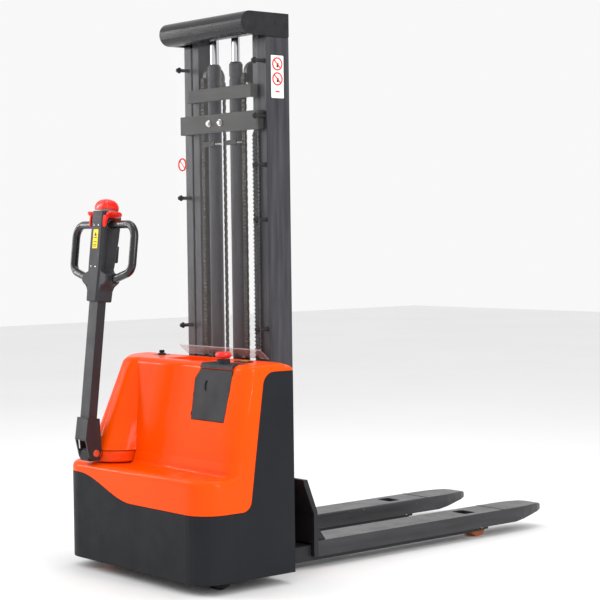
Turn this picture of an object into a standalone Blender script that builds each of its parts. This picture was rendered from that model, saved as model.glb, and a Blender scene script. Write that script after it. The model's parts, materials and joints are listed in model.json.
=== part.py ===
"""Pedestrian walkie stacker: powered chassis, duplex mast, fork carriage and offset tiller.

The model is laid out with X across the truck, Y towards the fork tips with Y = 0 at the
front face of the power unit, and Z up from the floor.  The last step moves everything so
that the origin is on the floor, under the middle of the bounding box.  Metres throughout.
"""
import math

import bmesh
import bpy
from mathutils import Matrix, Vector

# ---------------------------------------------------------------- driving dimensions
GAP = 0.0003                 # clearance between touching solids

BODY_HALF_W = 0.398          # power unit, half width
BODY_REAR_Y = -0.369         # rear face of the power unit
BODY_CORNER_R = 0.090        # rear corners in plan
SKIRT_BOTTOM_Z = 0.036
SKIRT_LOW_Z = 0.2505         # skirt top, right-hand side and rear
SKIRT_HIGH_Z = 0.326         # skirt top, left rear corner
SKIRT_PANEL_Z = 0.685        # top of the side panels beside the mast
SKIRT_T = 0.005
STEP_Z = 0.360               # platform in front of the upright cover
COVER_TOP_Z = 0.710
COVER_BOTTOM_Z = 0.200
COVER_FRONT_Y = -0.002
COVER_T = 0.008

STEER_X, STEER_Y = -0.235, -0.250     # steering axis
DRIVE_R, DRIVE_W = 0.105, 0.070       # drive wheel
TURNTABLE_R = 0.0925
TURNTABLE_Z = (0.366, 0.402)

PIVOT = (-0.235, -0.361, 0.397)       # tiller hinge
TILLER_LEAN = math.radians(6.5)       # rest angle, towards the mast
ARM_Y = -0.019                        # arm centre line behind the hinge, in the tiller's frame
HANDLE_Y = ARM_Y + 0.008
HANDLE_R = 0.0135
HANDLE_TOP_Z = 0.767                  # upper run of each handle loop
HANDLE_OUT_X = 0.1755                 # outer run
HANDLE_FOOT = (0.0600, 0.5785)        # lower end, in its socket in the collar
HANDLE_TILT = math.radians(15.6)      # slope of the lower run
THROTTLE_Y, THROTTLE_Z = ARM_Y + 0.014, 0.798

MAST_HALF_W = 0.2265                  # outer channels
MAST_REAR_Y, MAST_FRONT_Y = 0.0458, 0.1433
MAST_BOTTOM_Z, MAST_TOP_Z = 0.080, 1.768
FLANGE_W = 0.040
WEB_T = 0.008
INNER_HALF_W = 0.183                  # inner channels
INNER_REAR_Y, INNER_FRONT_Y = 0.0500, 0.1390
HEAD_Z = (1.772, 1.848)               # side plates of the mast head
HEAD_ROUND_Y = -0.020                 # centre of the half-round beam

CYL_X, CYL_Y, CYL_R = 0.060, 0.050, 0.023
ROD_R = 0.0145
PULLEY_X, PULLEY_Y, PULLEY_Z, PULLEY_R = 0.112, 0.088, 1.660, 0.045
CHAIN_Y = (0.0365, 0.0465)
GUARD_Y = (0.0060, 0.0100)

FORK_X, FORK_HALF_W = 0.2007, 0.0705  # fork centre line and half width
FORK_HEEL_Y, FORK_TIP_Y = 0.2055, 1.3544
FORK_TOP_Z, FORK_BOTTOM_Z = 0.0918, 0.0390
LOAD_WHEEL_Y, LOAD_WHEEL_R, LOAD_WHEEL_W = 1.0186, 0.040, 0.062
LEG_HALF_W = 0.052
LEG_Z = (0.024, 0.0775)

CASTER_X, CASTER_Y, CASTER_R, CASTER_W = 0.304, -0.255, 0.050, 0.040
CASTER_TRAIL = 0.018
SHELF_Z = (0.300, 0.308)

ROLLER_Y = (INNER_REAR_Y + INNER_FRONT_Y) / 2.0
MAST_ROLLER_Z, CARRIAGE_ROLLER_Z = 0.150, 0.405

HATCH_EDGE_GAP = 0.0012
HATCH_T = 0.007
KEY_X, KEY_Y = -0.235, -0.062
ESTOP_X, ESTOP_Y = 0.246, -0.163

SIDES = (("left", -1), ("right", 1))


# ---------------------------------------------------------------- scene and materials
def clear_scene():
    for old in list(bpy.data.objects):
        bpy.data.objects.remove(old, do_unlink=True)


def make_material(name, rgb, roughness, metallic=0.0, alpha=1.0):
    material = bpy.data.materials.new(name)
    material.use_nodes = True
    shader = material.node_tree.nodes["Principled BSDF"]
    shader.inputs["Base Color"].default_value = (*rgb, 1.0)
    shader.inputs["Roughness"].default_value = roughness
    shader.inputs["Metallic"].default_value = metallic
    shader.inputs["Alpha"].default_value = alpha
    return material


clear_scene()
ORANGE = make_material("orange_paint", (0.90, 0.10, 0.005), 0.25)
DARK = make_material("dark_grey_paint", (0.035, 0.035, 0.040), 0.5)
MAST = make_material("mast_grey_paint", (0.085, 0.085, 0.095), 0.4)
TIE = make_material("warm_grey_paint", (0.14, 0.13, 0.12), 0.45)
STEEL = make_material("bright_steel", (0.55, 0.55, 0.56), 0.25, 1.0)
BLACK = make_material("black_plastic", (0.015, 0.015, 0.016), 0.35)
HEAD = make_material("tiller_grey_plastic", (0.06, 0.06, 0.068), 0.5)
RED = make_material("red_plastic", (0.80, 0.03, 0.015), 0.35)
CLEAR = make_material("clear_sheet", (0.85, 0.87, 0.88), 0.05, 0.0, 0.2)
RUBBER = make_material("polyurethane", (0.35, 0.12, 0.03), 0.5)
FORK = make_material("fork_paint", (0.12, 0.115, 0.12), 0.4)
CHAIN = make_material("oiled_chain", (0.05, 0.045, 0.04), 0.35, 0.8)
BRASS = make_material("copper_bolt", (0.60, 0.22, 0.10), 0.3, 1.0)
BATTERY = make_material("battery_case", (0.03, 0.03, 0.035), 0.6)


# ---------------------------------------------------------------- mesh helpers
def add_object(name, bm, material, origin=(0.0, 0.0, 0.0), parent=None, smooth=False, bevel=0.0):
    """Turn a bmesh, in layout coordinates, into an object whose origin is at `origin`."""
    bmesh.ops.recalc_face_normals(bm, faces=bm.faces)
    bmesh.ops.translate(bm, verts=bm.verts, vec=-Vector(origin))
    mesh = bpy.data.meshes.new(name)
    bm.to_mesh(mesh)
    bm.free()
    obj = bpy.data.objects.new(name, mesh)
    bpy.context.scene.collection.objects.link(obj)
    obj.location = origin
    obj.data.materials.append(material)
    if parent is not None:
        obj.parent = parent
    if smooth:
        mesh.shade_smooth()
        mesh.set_sharp_from_angle(angle=math.radians(35.0))
    if bevel > 0.0:
        modifier = obj.modifiers.new("edge_bevel", "BEVEL")
        modifier.width = bevel
        modifier.segments = 1
        modifier.limit_method = "ANGLE"
        modifier.angle_limit = math.radians(50.0)
    return obj


def boolean(obj, bm, operation="DIFFERENCE"):
    """Cut or join `bm`, given in the object's own parent space, and apply the result."""
    bmesh.ops.recalc_face_normals(bm, faces=bm.faces)
    bmesh.ops.translate(bm, verts=bm.verts, vec=-obj.location)
    mesh = bpy.data.meshes.new("tool")
    bm.to_mesh(mesh)
    bm.free()
    tool = bpy.data.objects.new("tool", mesh)
    bpy.context.scene.collection.objects.link(tool)
    tool.parent = obj
    modifier = obj.modifiers.new("boolean", "BOOLEAN")
    modifier.operation = operation
    modifier.solver = "EXACT"
    modifier.object = tool
    obj.modifiers.move(len(obj.modifiers) - 1, 0)
    bevels = [m for m in obj.modifiers if m.type == "BEVEL"]
    for item in bevels:
        item.show_viewport = False
    bpy.context.view_layer.update()
    evaluated = obj.evaluated_get(bpy.context.evaluated_depsgraph_get())
    result = bpy.data.meshes.new_from_object(evaluated)
    for item in bevels:
        item.show_viewport = True
    obj.modifiers.remove(obj.modifiers[0])
    obj.data = result
    bpy.data.objects.remove(tool, do_unlink=True)


def prism(outline, axis, low, high):
    """Extrude a closed 2-D outline along an axis.  The outline is given as (y, z) for X,
    (x, z) for Y and (x, y) for Z."""
    bm = bmesh.new()

    def place(a, b, level):
        if axis == "X":
            return (level, a, b)
        if axis == "Y":
            return (a, level, b)
        return (a, b, level)

    rings = [[bm.verts.new(place(a, b, level)) for a, b in outline] for level in (low, high)]
    bm.faces.new(rings[0])
    bm.faces.new(rings[1])
    count = len(outline)
    for i in range(count):
        j = (i + 1) % count
        bm.faces.new((rings[0][i], rings[0][j], rings[1][j], rings[1][i]))
    return bm


def box(x, y, z):
    return prism([(y[0], z[0]), (y[1], z[0]), (y[1], z[1]), (y[0], z[1])], "X", x[0], x[1])


def turned(profile, centre, axis="Z", steps=32):
    """Spin a closed profile of (radius, height) about an axis through `centre`."""
    bm = bmesh.new()
    rings = []
    for k in range(steps):
        angle = 2.0 * math.pi * k / steps
        c, s = math.cos(angle), math.sin(angle)
        ring = []
        for radius, height in profile:
            if axis == "Z":
                local = (radius * c, radius * s, height)
            elif axis == "X":
                local = (height, radius * c, radius * s)
            else:
                local = (radius * s, height, radius * c)
            ring.append(bm.verts.new(Vector(local) + Vector(centre)))
        rings.append(ring)
    count = len(profile)
    for k in range(steps):
        here, there = rings[k], rings[(k + 1) % steps]
        for i in range(count):
            j = (i + 1) % count
            bm.faces.new((here[i], here[j], there[j], there[i]))
    bmesh.ops.remove_doubles(bm, verts=bm.verts, dist=1e-6)
    on_axis = [e for e in bm.edges if not e.is_manifold]
    bmesh.ops.delete(bm, geom=on_axis, context="EDGES")
    return bm


def cylinder(centre, radius, low, high, axis="Z", steps=32, chamfer=0.0):
    """A solid cylinder from `low` to `high` along the axis through `centre`."""
    if chamfer == 0.0:
        return turned([(0.0, low), (radius, low), (radius, high), (0.0, high)], centre, axis, steps)
    return turned([(0.0, low), (radius - chamfer, low), (radius, low + chamfer), (radius, high - chamfer),
                   (radius - chamfer, high), (0.0, high)], centre, axis, steps)


def rounded(points, radii, steps=6, closed=False):
    """Replace the corners of a polyline by arcs of the given radii."""
    result = []
    count = len(points)
    for i, point in enumerate(points):
        radius = radii[i]
        if radius <= 0.0 or (not closed and i in (0, count - 1)):
            result.append(point)
            continue
        here = Vector(point)
        before = (Vector(points[i - 1]) - here).normalized()
        after = (Vector(points[(i + 1) % count]) - here).normalized()
        half = before.angle(after) / 2.0
        centre = here + (before + after).normalized() * (radius / math.sin(half))
        start = here + before * (radius / math.tan(half)) - centre
        finish = here + after * (radius / math.tan(half)) - centre
        sweep = start.angle_signed(finish)
        for k in range(steps + 1):
            arm = start.copy()
            arm.rotate(Matrix.Rotation(-sweep * k / steps, 2))
            result.append(tuple(centre + arm))
    return result


def loft(rings, cap_low=True, cap_high=True):
    """Skin a list of closed rings of equal length."""
    bm = bmesh.new()
    made = [[bm.verts.new(p) for p in ring] for ring in rings]
    count = len(made[0])
    for first, second in zip(made[:-1], made[1:]):
        for k in range(count):
            j = (k + 1) % count
            bm.faces.new((first[k], first[j], second[j], second[k]))
    if cap_low:
        bm.faces.new(made[0])
    if cap_high:
        bm.faces.new(made[-1])
    return bm


def joined(parts):
    """Put several bmeshes of separate, non-touching tools into one."""
    whole = parts[0]
    for part in parts[1:]:
        mesh = bpy.data.meshes.new("part")
        part.to_mesh(mesh)
        part.free()
        whole.from_mesh(mesh)
        bpy.data.meshes.remove(mesh)
    return whole


def smoothstep(t):
    t = min(1.0, max(0.0, t))
    return t * t * (3.0 - 2.0 * t)


# ---------------------------------------------------------------- skirt
def skirt_path():
    """Plan position and top height along the skirt, front right to front left."""
    side_x = BODY_HALF_W
    corner_y = BODY_REAR_Y + BODY_CORNER_R
    right = rounded([(-0.0005, SKIRT_PANEL_Z), (-0.118, SKIRT_PANEL_Z), (-0.181, SKIRT_LOW_Z),
                     (corner_y, SKIRT_LOW_Z)], [0.0, 0.045, 0.035, 0.0], 7)
    left = rounded([(corner_y, SKIRT_HIGH_Z), (-0.100, SKIRT_HIGH_Z), (-0.040, SKIRT_PANEL_Z),
                    (-0.0005, SKIRT_PANEL_Z)], [0.0, 0.035, 0.020, 0.0], 7)
    path = [(side_x, y, z, (1.0, 0.0)) for y, z in right[:-1]]
    corner_steps = 8
    for k in range(corner_steps + 1):
        angle = -0.5 * math.pi * k / corner_steps
        normal = (math.cos(angle), math.sin(angle))
        x = side_x - BODY_CORNER_R + BODY_CORNER_R * normal[0]
        y = corner_y + BODY_CORNER_R * normal[1]
        path.append((x, y, SKIRT_LOW_Z, normal))
    swoop_start, swoop_end, swoop_steps = 0.007, -0.295, 13
    for k in range(swoop_steps + 1):
        x = swoop_start + (swoop_end - swoop_start) * k / swoop_steps
        rise = (SKIRT_HIGH_Z - SKIRT_LOW_Z) * smoothstep(k / swoop_steps)
        path.append((x, BODY_REAR_Y, SKIRT_LOW_Z + rise, (0.0, -1.0)))
    for k in range(corner_steps + 1):
        angle = -0.5 * math.pi - 0.5 * math.pi * k / corner_steps
        normal = (math.cos(angle), math.sin(angle))
        x = -side_x + BODY_CORNER_R + BODY_CORNER_R * normal[0]
        y = corner_y + BODY_CORNER_R * normal[1]
        path.append((x, y, SKIRT_HIGH_Z, normal))
    path += [(-side_x, y, z, (-1.0, 0.0)) for y, z in left[1:]]
    return path


def skirt_wall(outside, inside, bottom_z, lift, front_y):
    """A wall along the skirt path: `outside` and `inside` are offsets from its outer face."""
    rings = []
    for x, y, z, normal in skirt_path():
        if y > -0.001:
            y = front_y
        outer = (x + outside * normal[0], y + outside * normal[1])
        inner = (x - inside * normal[0], y - inside * normal[1])
        rings.append([(*outer, bottom_z), (*outer, z + lift), (*inner, z + lift), (*inner, bottom_z)])
    return loft(rings)


def make_skirt():
    return add_object("chassis_skirt", skirt_wall(0.0, SKIRT_T, SKIRT_BOTTOM_Z, 0.0, -0.0005),
                      DARK, smooth=True)


# ---------------------------------------------------------------- main cover
RAY_ORIGIN = Vector((-0.160, -0.100))      # every plan outline is star-shaped about this point


def inside_plan(p, rear_y, left_r, right_r, half_w, inset):
    """Is a point inside a box outline with two rounded rear corners, shrunk by `inset`?"""
    x_low, x_high = -half_w + inset, half_w - inset
    y_low, y_high = rear_y + inset, COVER_FRONT_Y - inset
    if not (x_low < p.x < x_high and y_low < p.y < y_high):
        return False
    for sign, radius in ((-1, left_r - inset), (1, right_r - inset)):
        centre = Vector((x_low + radius if sign < 0 else x_high - radius, y_low + radius))
        beyond = (p.x - centre.x) * sign > 0.0 and p.y < centre.y
        if beyond and (p - centre).length > radius:
            return False
    return True


def reach(angle, test):
    """Distance from the ray origin to the edge of a region, by bisection."""
    direction = Vector((math.cos(angle), math.sin(angle)))
    low, high = 0.0, 1.2
    for _ in range(34):
        middle = 0.5 * (low + high)
        if test(RAY_ORIGIN + direction * middle):
            low = middle
        else:
            high = middle
    return low


def platform_reach(angle, inset=0.0):
    def test(p):
        return inside_plan(p, BODY_REAR_Y, BODY_CORNER_R, BODY_CORNER_R, BODY_HALF_W, inset)
    return reach(angle, test)


def upright_reach(angle, height, inset=0.0, cowl=True):
    """Outline of the upright part of the cover: a leaning box with a large left corner,
    blended with a conical cowl that stands over the turntable."""
    t = (height - STEP_Z) / (COVER_TOP_Z - STEP_Z)
    rear_y = -0.252 + 0.062 * t

    def test(p):
        return inside_plan(p, rear_y, 0.190, 0.048, BODY_HALF_W - 0.0005, inset)
    distance = reach(angle, test)
    if not cowl:
        return distance
    centre = Vector((STEER_X, -0.2584 + 0.099 * t))
    radius = 0.099 - 0.051 * t - inset
    offset = RAY_ORIGIN - centre
    direction = Vector((math.cos(angle), math.sin(angle)))
    along = offset.dot(direction)
    square = along * along - offset.length_squared + radius * radius
    if square <= 0.0:
        return distance
    bulge = -along + math.sqrt(square)
    blend = 0.030
    h = min(1.0, max(0.0, 0.5 + 0.5 * (bulge - distance) / blend))
    return distance + (bulge - distance) * h + blend * h * (1.0 - h)


def cover_angles():
    """Ray directions through points of the platform outline, closer where the plan bends."""
    side, rear, r = BODY_HALF_W, BODY_REAR_Y, BODY_CORNER_R
    length = COVER_FRONT_Y - (rear + r)
    points = [(side, COVER_FRONT_Y - length * (1.0 - (1.0 - k / 7) ** 2)) for k in range(7)]
    for k in range(7):
        turn = 0.5 * math.pi * k / 7
        points.append((side - r + r * math.cos(turn), rear + r - r * math.sin(turn)))
    points += [(side - r - (side - r + 0.070) * k / 7, rear) for k in range(7)]
    points += [(-0.070 - (side - r - 0.070) * k / 12, rear) for k in range(12)]
    for k in range(6):
        turn = 0.5 * math.pi * k / 6
        points.append((-side + r - r * math.sin(turn), rear + r - r * math.cos(turn)))
    points += [(-side, rear + r + length * k / 9) for k in range(9)]
    points += [(-side + 2.0 * side * k / 4, COVER_FRONT_Y) for k in range(4)]
    return [math.atan2(y - RAY_ORIGIN.y, x - RAY_ORIGIN.x) for x, y in points]


def cover_rings():
    """Rings of the shell: up the outside, over the top, and down the inside."""
    angles = cover_angles()

    def ring(distances, height):
        return [(RAY_ORIGIN.x + d * math.cos(a), RAY_ORIGIN.y + d * math.sin(a), height)
                for a, d in zip(angles, distances)]

    base = [platform_reach(a) for a in angles]
    foot = [upright_reach(a, STEP_Z, cowl=False) for a in angles]
    size = [min(0.020, 0.4 * (b - f)) for b, f in zip(base, foot)]
    rings = [ring(base, COVER_BOTTOM_Z), ring(base, STEP_Z - 0.021)]
    for k in range(3):
        turn = 0.5 * math.pi * k / 2
        drop = 0.020 * (1.0 - math.sin(turn))
        lift = 0.0004 * k
        rings.append(ring([b - s * (1.0 - math.cos(turn)) for b, s in zip(base, size)],
                          STEP_Z - drop + lift))
    for k in range(3):
        turn = 0.5 * math.pi * k / 2
        rise = 0.020 * (1.0 - math.cos(turn))
        rings.append(ring([f + s * (1.0 - math.sin(turn)) for f, s in zip(foot, size)],
                          STEP_Z + 0.0016 + 0.0004 * k + rise))
    ledge = 0.4045
    rings.append(ring([upright_reach(a, ledge, cowl=False) for a in angles], ledge))
    wall_levels = [ledge + 0.0005 + (0.690 - ledge - 0.0005) * k / 5 for k in range(6)]
    for height in wall_levels:
        rings.append(ring([upright_reach(a, height) for a in angles], height))
    crown = COVER_TOP_Z - wall_levels[-1]
    for k in range(1, 4):
        turn = 0.5 * math.pi * k / 3
        height = wall_levels[-1] + crown * math.sin(turn)
        inset = crown * (1.0 - math.cos(turn))
        rings.append(ring([upright_reach(a, height, inset) for a in angles], height))
    inner_top = COVER_TOP_Z - 0.025
    inner = []
    for height in [inner_top] + wall_levels[-2:0:-1] + [0.4150]:
        inner.append(ring([upright_reach(a, height, COVER_T) for a in angles], height))
    inner.append(ring([upright_reach(a, 0.4136, COVER_T, cowl=False) for a in angles], 0.4136))
    under = STEP_Z - COVER_T
    inner.append(ring([upright_reach(a, under, COVER_T + 0.002, cowl=False) for a in angles], under))
    inner.append(ring([platform_reach(a, COVER_T) for a in angles], under - 0.001))
    inner.append(ring([platform_reach(a, COVER_T) for a in angles], COVER_BOTTOM_Z))
    return rings, inner


def cover_cutters():
    """Everything cut from the shell: skirt seat, turntable well, hatch opening and recesses."""
    tray = rounded([(-0.090, -0.150), (0.125, -0.150), (0.125, -0.045), (-0.090, -0.045)],
                   [0.02] * 4, 5, closed=True)
    gauge = rounded([(0.228, -0.112), (0.292, -0.112), (0.292, -0.072), (0.228, -0.072)],
                    [0.006] * 4, 3, closed=True)
    well = [(0.0, 0.300), (0.0665, 0.300), (0.0665, 0.3612), (0.0975, 0.3612), (0.0975, 0.4042),
            (0.0500, 0.4042), (0.0500, 0.4300), (0.0, 0.4300)]
    top = COVER_TOP_Z
    key_well = [(0.0, top - 0.016), (0.0142, top - 0.016), (0.0142, top - 0.006), (0.030, top - 0.006),
                (0.030, 0.800), (0.0, 0.800)]
    return [skirt_wall(0.010, 0.016, 0.10, 0.0012, 0.010),
            turned(well, (STEER_X, STEER_Y, 0.0), steps=36),
            hatch_prism(HATCH_EDGE_GAP, -0.020, 0.030),
            box((0.1645, 0.3355), (-0.300, -0.1290), (top - 0.0085, 0.80)),
            prism(tray, "Z", top - 0.012, 0.80),
            turned(key_well, (KEY_X, KEY_Y, 0.0), steps=28),
            prism(gauge, "Z", top - 0.010, 0.80)]


def make_cover():
    outer, inner = cover_rings()
    bm = bmesh.new()
    made = [[bm.verts.new(p) for p in ring] for ring in outer + inner]
    count = len(made[0])
    top = len(outer)
    for index in range(len(made) - 1):
        if index == top - 1:
            continue
        for k in range(count):
            j = (k + 1) % count
            bm.faces.new((made[index][k], made[index][j], made[index + 1][j], made[index + 1][k]))
    bm.faces.new(made[top - 1])
    bm.faces.new(made[top])
    for k in range(count):
        j = (k + 1) % count
        bm.faces.new((made[0][k], made[0][j], made[-1][j], made[-1][k]))
    cover = add_object("main_cover", bm, ORANGE)
    boolean(cover, joined(cover_cutters()))
    cover.data.shade_smooth()
    cover.data.set_sharp_from_angle(angle=math.radians(38.0))
    return cover


# ---------------------------------------------------------------- hatch and controls
def panel_frame():
    """Origin and unit vectors of the leaning rear panel: across, up the panel, outward."""
    up = Vector((0.0, 0.062, COVER_TOP_Z - STEP_Z)).normalized()
    across = Vector((1.0, 0.0, 0.0))
    outward = across.cross(up)
    origin = Vector((0.0, -0.252, STEP_Z))
    return origin, across, up, outward


def hatch_outline(grow):
    """Door outline as (x, height along the panel), with a cut upper left corner."""
    low = (0.531 - STEP_Z) - grow
    high = (0.6925 - STEP_Z) * 1.013 + grow
    return [(0.146 - grow, low), (0.318 + grow, low), (0.334 + grow, high),
            (0.168 - grow, high), (0.141 - grow, 0.302 + grow)]


def hatch_prism(grow, low, high):
    origin, across, up, outward = panel_frame()
    rings = []
    for level in (low, high):
        rings.append([tuple(origin + across * x + up * s + outward * level)
                      for x, s in hatch_outline(grow)])
    return loft(rings)


def make_hatch():
    origin, across, up, outward = panel_frame()
    hinge = origin + across * 0.1435 + up * 0.24
    hatch = add_object("service_hatch", hatch_prism(0.0, -HATCH_T, 0.0004), DARK, origin=tuple(hinge),
                       bevel=0.0010)
    notch = loft([[tuple(origin + across * (0.205 + 0.009 * math.cos(a) + lean)
                         + up * (0.283 + 0.017 * math.sin(a)) + outward * level)
                   for a in [2.0 * math.pi * k / 12 for k in range(12)]]
                  for level, lean in ((-0.0035, 0.0), (0.010, 0.002))])
    boolean(hatch, notch)
    return hatch


def make_console():
    """Dark top pad that turns over the cover's rear edge and carries the emergency stop."""
    top = COVER_TOP_Z
    outline = rounded([(-0.1302, top - 0.0082), (-0.1905, top - 0.0082), (-0.1935, top - 0.0150),
                       (-0.1972, top - 0.0150), (-0.1930, top + 0.0006), (-0.1302, top + 0.0006)],
                      [0.0, 0.0, 0.0, 0.0, 0.010, 0.0], 5, closed=True)
    pad = add_object("console_panel", prism(outline, "X", 0.1657, 0.3343), DARK, bevel=0.0008)
    base_top = top + 0.0130
    boolean(pad, cylinder((ESTOP_X, ESTOP_Y, 0.0), 0.0215, top - 0.0060, base_top, steps=28), "UNION")
    boolean(pad, cylinder((ESTOP_X, ESTOP_Y, 0.0), 0.0092, top - 0.0050, base_top + 0.01, steps=20))
    cap_low, cap_high = base_top + 0.0045, base_top + 0.0250
    button = turned([(0.0, top + 0.0040), (0.0088, top + 0.0040), (0.0088, cap_low), (0.0220, cap_low),
                     (0.0262, cap_low + 0.0050), (0.0270, cap_low + 0.0100), (0.0245, cap_high - 0.0040),
                     (0.0180, cap_high - 0.0010), (0.0, cap_high)],
                    (ESTOP_X, ESTOP_Y, 0.0), steps=28)
    add_object("estop_button", button, RED, origin=(ESTOP_X, ESTOP_Y, base_top), smooth=True)
    return pad


def make_key_and_gauge():
    top = COVER_TOP_Z
    barrel = turned([(0.0045, top - 0.0150), (0.0138, top - 0.0150), (0.0138, top + 0.0040),
                     (0.0120, top + 0.0060), (0.0045, top + 0.0060)], (KEY_X, KEY_Y, 0.0), steps=24)
    add_object("key_switch", barrel, BLACK, smooth=True)
    key = cylinder((KEY_X, KEY_Y, 0.0), 0.0042, top - 0.012, top + 0.0065, steps=16)
    blade = add_object("ignition_key", key, BLACK, origin=(KEY_X, KEY_Y, top))
    boolean(blade, box((KEY_X - 0.0016, KEY_X + 0.0016), (KEY_Y - 0.0105, KEY_Y + 0.0105),
                       (top + 0.0063, top + 0.0270)), "UNION")
    add_object("battery_gauge", box((0.2300, 0.2900), (-0.1100, -0.0740), (top - 0.0097, top + 0.0035)),
               BLACK, bevel=0.0015)


# ---------------------------------------------------------------- chassis
def make_frame():
    """Front bulkhead, shelf, mast feet and caster post welded into one frame."""
    frame = add_object("chassis_frame", box((-0.3925, 0.3925), (-0.0105, -0.0025), (0.040, 0.195)), DARK)
    shelf_outline = rounded([(-0.388, -0.0026), (-0.388, -0.359), (0.388, -0.359), (0.388, -0.0026)],
                            [0.0, 0.088, 0.088, 0.0], 5, closed=True)
    shelf = prism(shelf_outline, "Z", 0.120, 0.128)
    boolean(frame, shelf, "UNION")
    boolean(frame, cylinder((STEER_X, STEER_Y, 0.0), 0.1135, 0.05, 0.20, steps=36))
    for _, sign in SIDES:
        span = sorted((sign * 0.188, sign * 0.225))
        foot = box(span, (-0.0045, MAST_REAR_Y - GAP), (0.085, 0.180))
        boolean(frame, foot, "UNION")
    wall = box((-0.392, -0.352), (-0.160, -0.1285), (0.124, 0.306))
    boolean(frame, wall, "UNION")
    bridge = prism([(-0.392, -0.1285), (-0.080, -0.1285), (-0.080, -0.330), (-0.300, -0.345),
                    (-0.380, -0.270)], "Z", SHELF_Z[0], SHELF_Z[1])
    boolean(frame, bridge, "UNION")
    boolean(frame, box((-0.100, -0.080), (-0.330, -0.130), (0.124, 0.304)), "UNION")
    boolean(frame, cylinder((STEER_X, STEER_Y, 0.0), 0.0608, 0.29, 0.32, steps=32))
    boolean(frame, cylinder((CASTER_X, CASTER_Y, 0.0), 0.024, 0.1095, 0.124, steps=24), "UNION")
    return frame


def make_internals():
    add_object("battery_pack", box((0.020, 0.350), (-0.185, -0.016), (0.1285, 0.350)), BATTERY, bevel=0.003)
    tank = add_object("hydraulic_power_pack", box((-0.320, -0.090), (-0.118, -0.016), (0.1285, 0.300)),
                      STEEL, bevel=0.003)
    boolean(tank, cylinder((-0.200, -0.066, 0.0), 0.042, 0.29, 0.470, steps=28), "UNION")
    add_object("motor_controller", box((0.060, 0.320), (-0.150, -0.020), (0.3510, 0.410)), STEEL, bevel=0.002)


def make_legs():
    """Support legs with a fork end for the load wheel, and the wheels and axles."""
    for name, sign in SIDES:
        x = sign * FORK_X
        low, high = LEG_Z
        end_y = LOAD_WHEEL_Y + 0.032
        outline = [(0.0003, low), (LOAD_WHEEL_Y - 0.06, low), (end_y, low + 0.004), (end_y, 0.050),
                   (end_y - 0.020, 0.066), (LOAD_WHEEL_Y - 0.120, high), (0.0003, high)]
        leg = add_object("support_leg_" + name, prism(outline, "X", x - LEG_HALF_W, x + LEG_HALF_W),
                         DARK, bevel=0.0015)
        slot_x = (x - LOAD_WHEEL_W / 2 - 0.003, x + LOAD_WHEEL_W / 2 + 0.003)
        boolean(leg, box(slot_x, (LOAD_WHEEL_Y - 0.048, LOAD_WHEEL_Y + 0.10), (0.0, 0.10)))
        wall = 0.008
        hollow_x = (x - LEG_HALF_W + wall, x + LEG_HALF_W - wall)
        boolean(leg, box(hollow_x, (0.020, LOAD_WHEEL_Y - 0.090), (0.0, high - wall)))
        boolean(leg, cylinder((x, LOAD_WHEEL_Y, LOAD_WHEEL_R), 0.0083, -0.07, 0.07, "X", 20))
        add_object("load_axle_" + name,
                   cylinder((x, LOAD_WHEEL_Y, LOAD_WHEEL_R), 0.0079, -0.0515, 0.0515, "X", 20, 0.001),
                   STEEL, smooth=True)
        half = LOAD_WHEEL_W / 2
        wheel = turned([(0.0083, -half), (0.0200, -half), (0.0215, -half + 0.002), (0.0240, -half + 0.002),
                        (0.0375, -half), (0.0400, -half + 0.0025), (0.0400, half - 0.0025), (0.0375, half),
                        (0.0240, half - 0.002), (0.0215, half - 0.002), (0.0200, half), (0.0083, half)],
                       (x, LOAD_WHEEL_Y, LOAD_WHEEL_R), "X", 24)
        add_object("load_wheel_" + name, wheel, RUBBER, origin=(x, LOAD_WHEEL_Y, LOAD_WHEEL_R), smooth=True)


def make_caster():
    """Swivel fork with its axle, and the wheel."""
    x, y, r = CASTER_X, CASTER_Y, CASTER_R
    fork = add_object("caster_fork", cylinder((x, y, 0.0), 0.030, 0.1025, 0.1092, steps=28, chamfer=0.001),
                      STEEL, origin=(x, y, 0.1092))
    axle_y = y + CASTER_TRAIL
    boolean(fork, box((x - 0.0275, x + 0.0275), (y - 0.016, axle_y + 0.014), (0.1025, 0.1075)), "UNION")
    for sign in (-1, 1):
        cheek = rounded([(y - 0.012, 0.1060), (axle_y - 0.016, r), (axle_y, r - 0.017), (axle_y + 0.016, r),
                         (axle_y + 0.014, 0.1060)], [0.0, 0.008, 0.012, 0.008, 0.0], 3, closed=True)
        span = sorted((x + sign * (CASTER_W / 2 + 0.003), x + sign * (CASTER_W / 2 + 0.0075)))
        boolean(fork, prism(cheek, "X", span[0], span[1]), "UNION")
    reach_x = CASTER_W / 2 + 0.0100
    boolean(fork, cylinder((x, axle_y, r), 0.0060, -reach_x, reach_x, "X", 16), "UNION")
    half = CASTER_W / 2
    wheel = turned([(0.0064, -half), (0.0160, -half), (0.0180, -half + 0.003), (0.0340, -half + 0.003),
                    (0.0360, -half), (r - 0.006, -half), (r, -half + 0.007), (r, half - 0.007),
                    (r - 0.006, half), (0.0360, half), (0.0340, half - 0.003), (0.0180, half - 0.003),
                    (0.0160, half), (0.0064, half)], (x, axle_y, r), "X", 24)
    add_object("caster_wheel", wheel, BLACK, origin=(x, axle_y, r), smooth=True)


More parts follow.
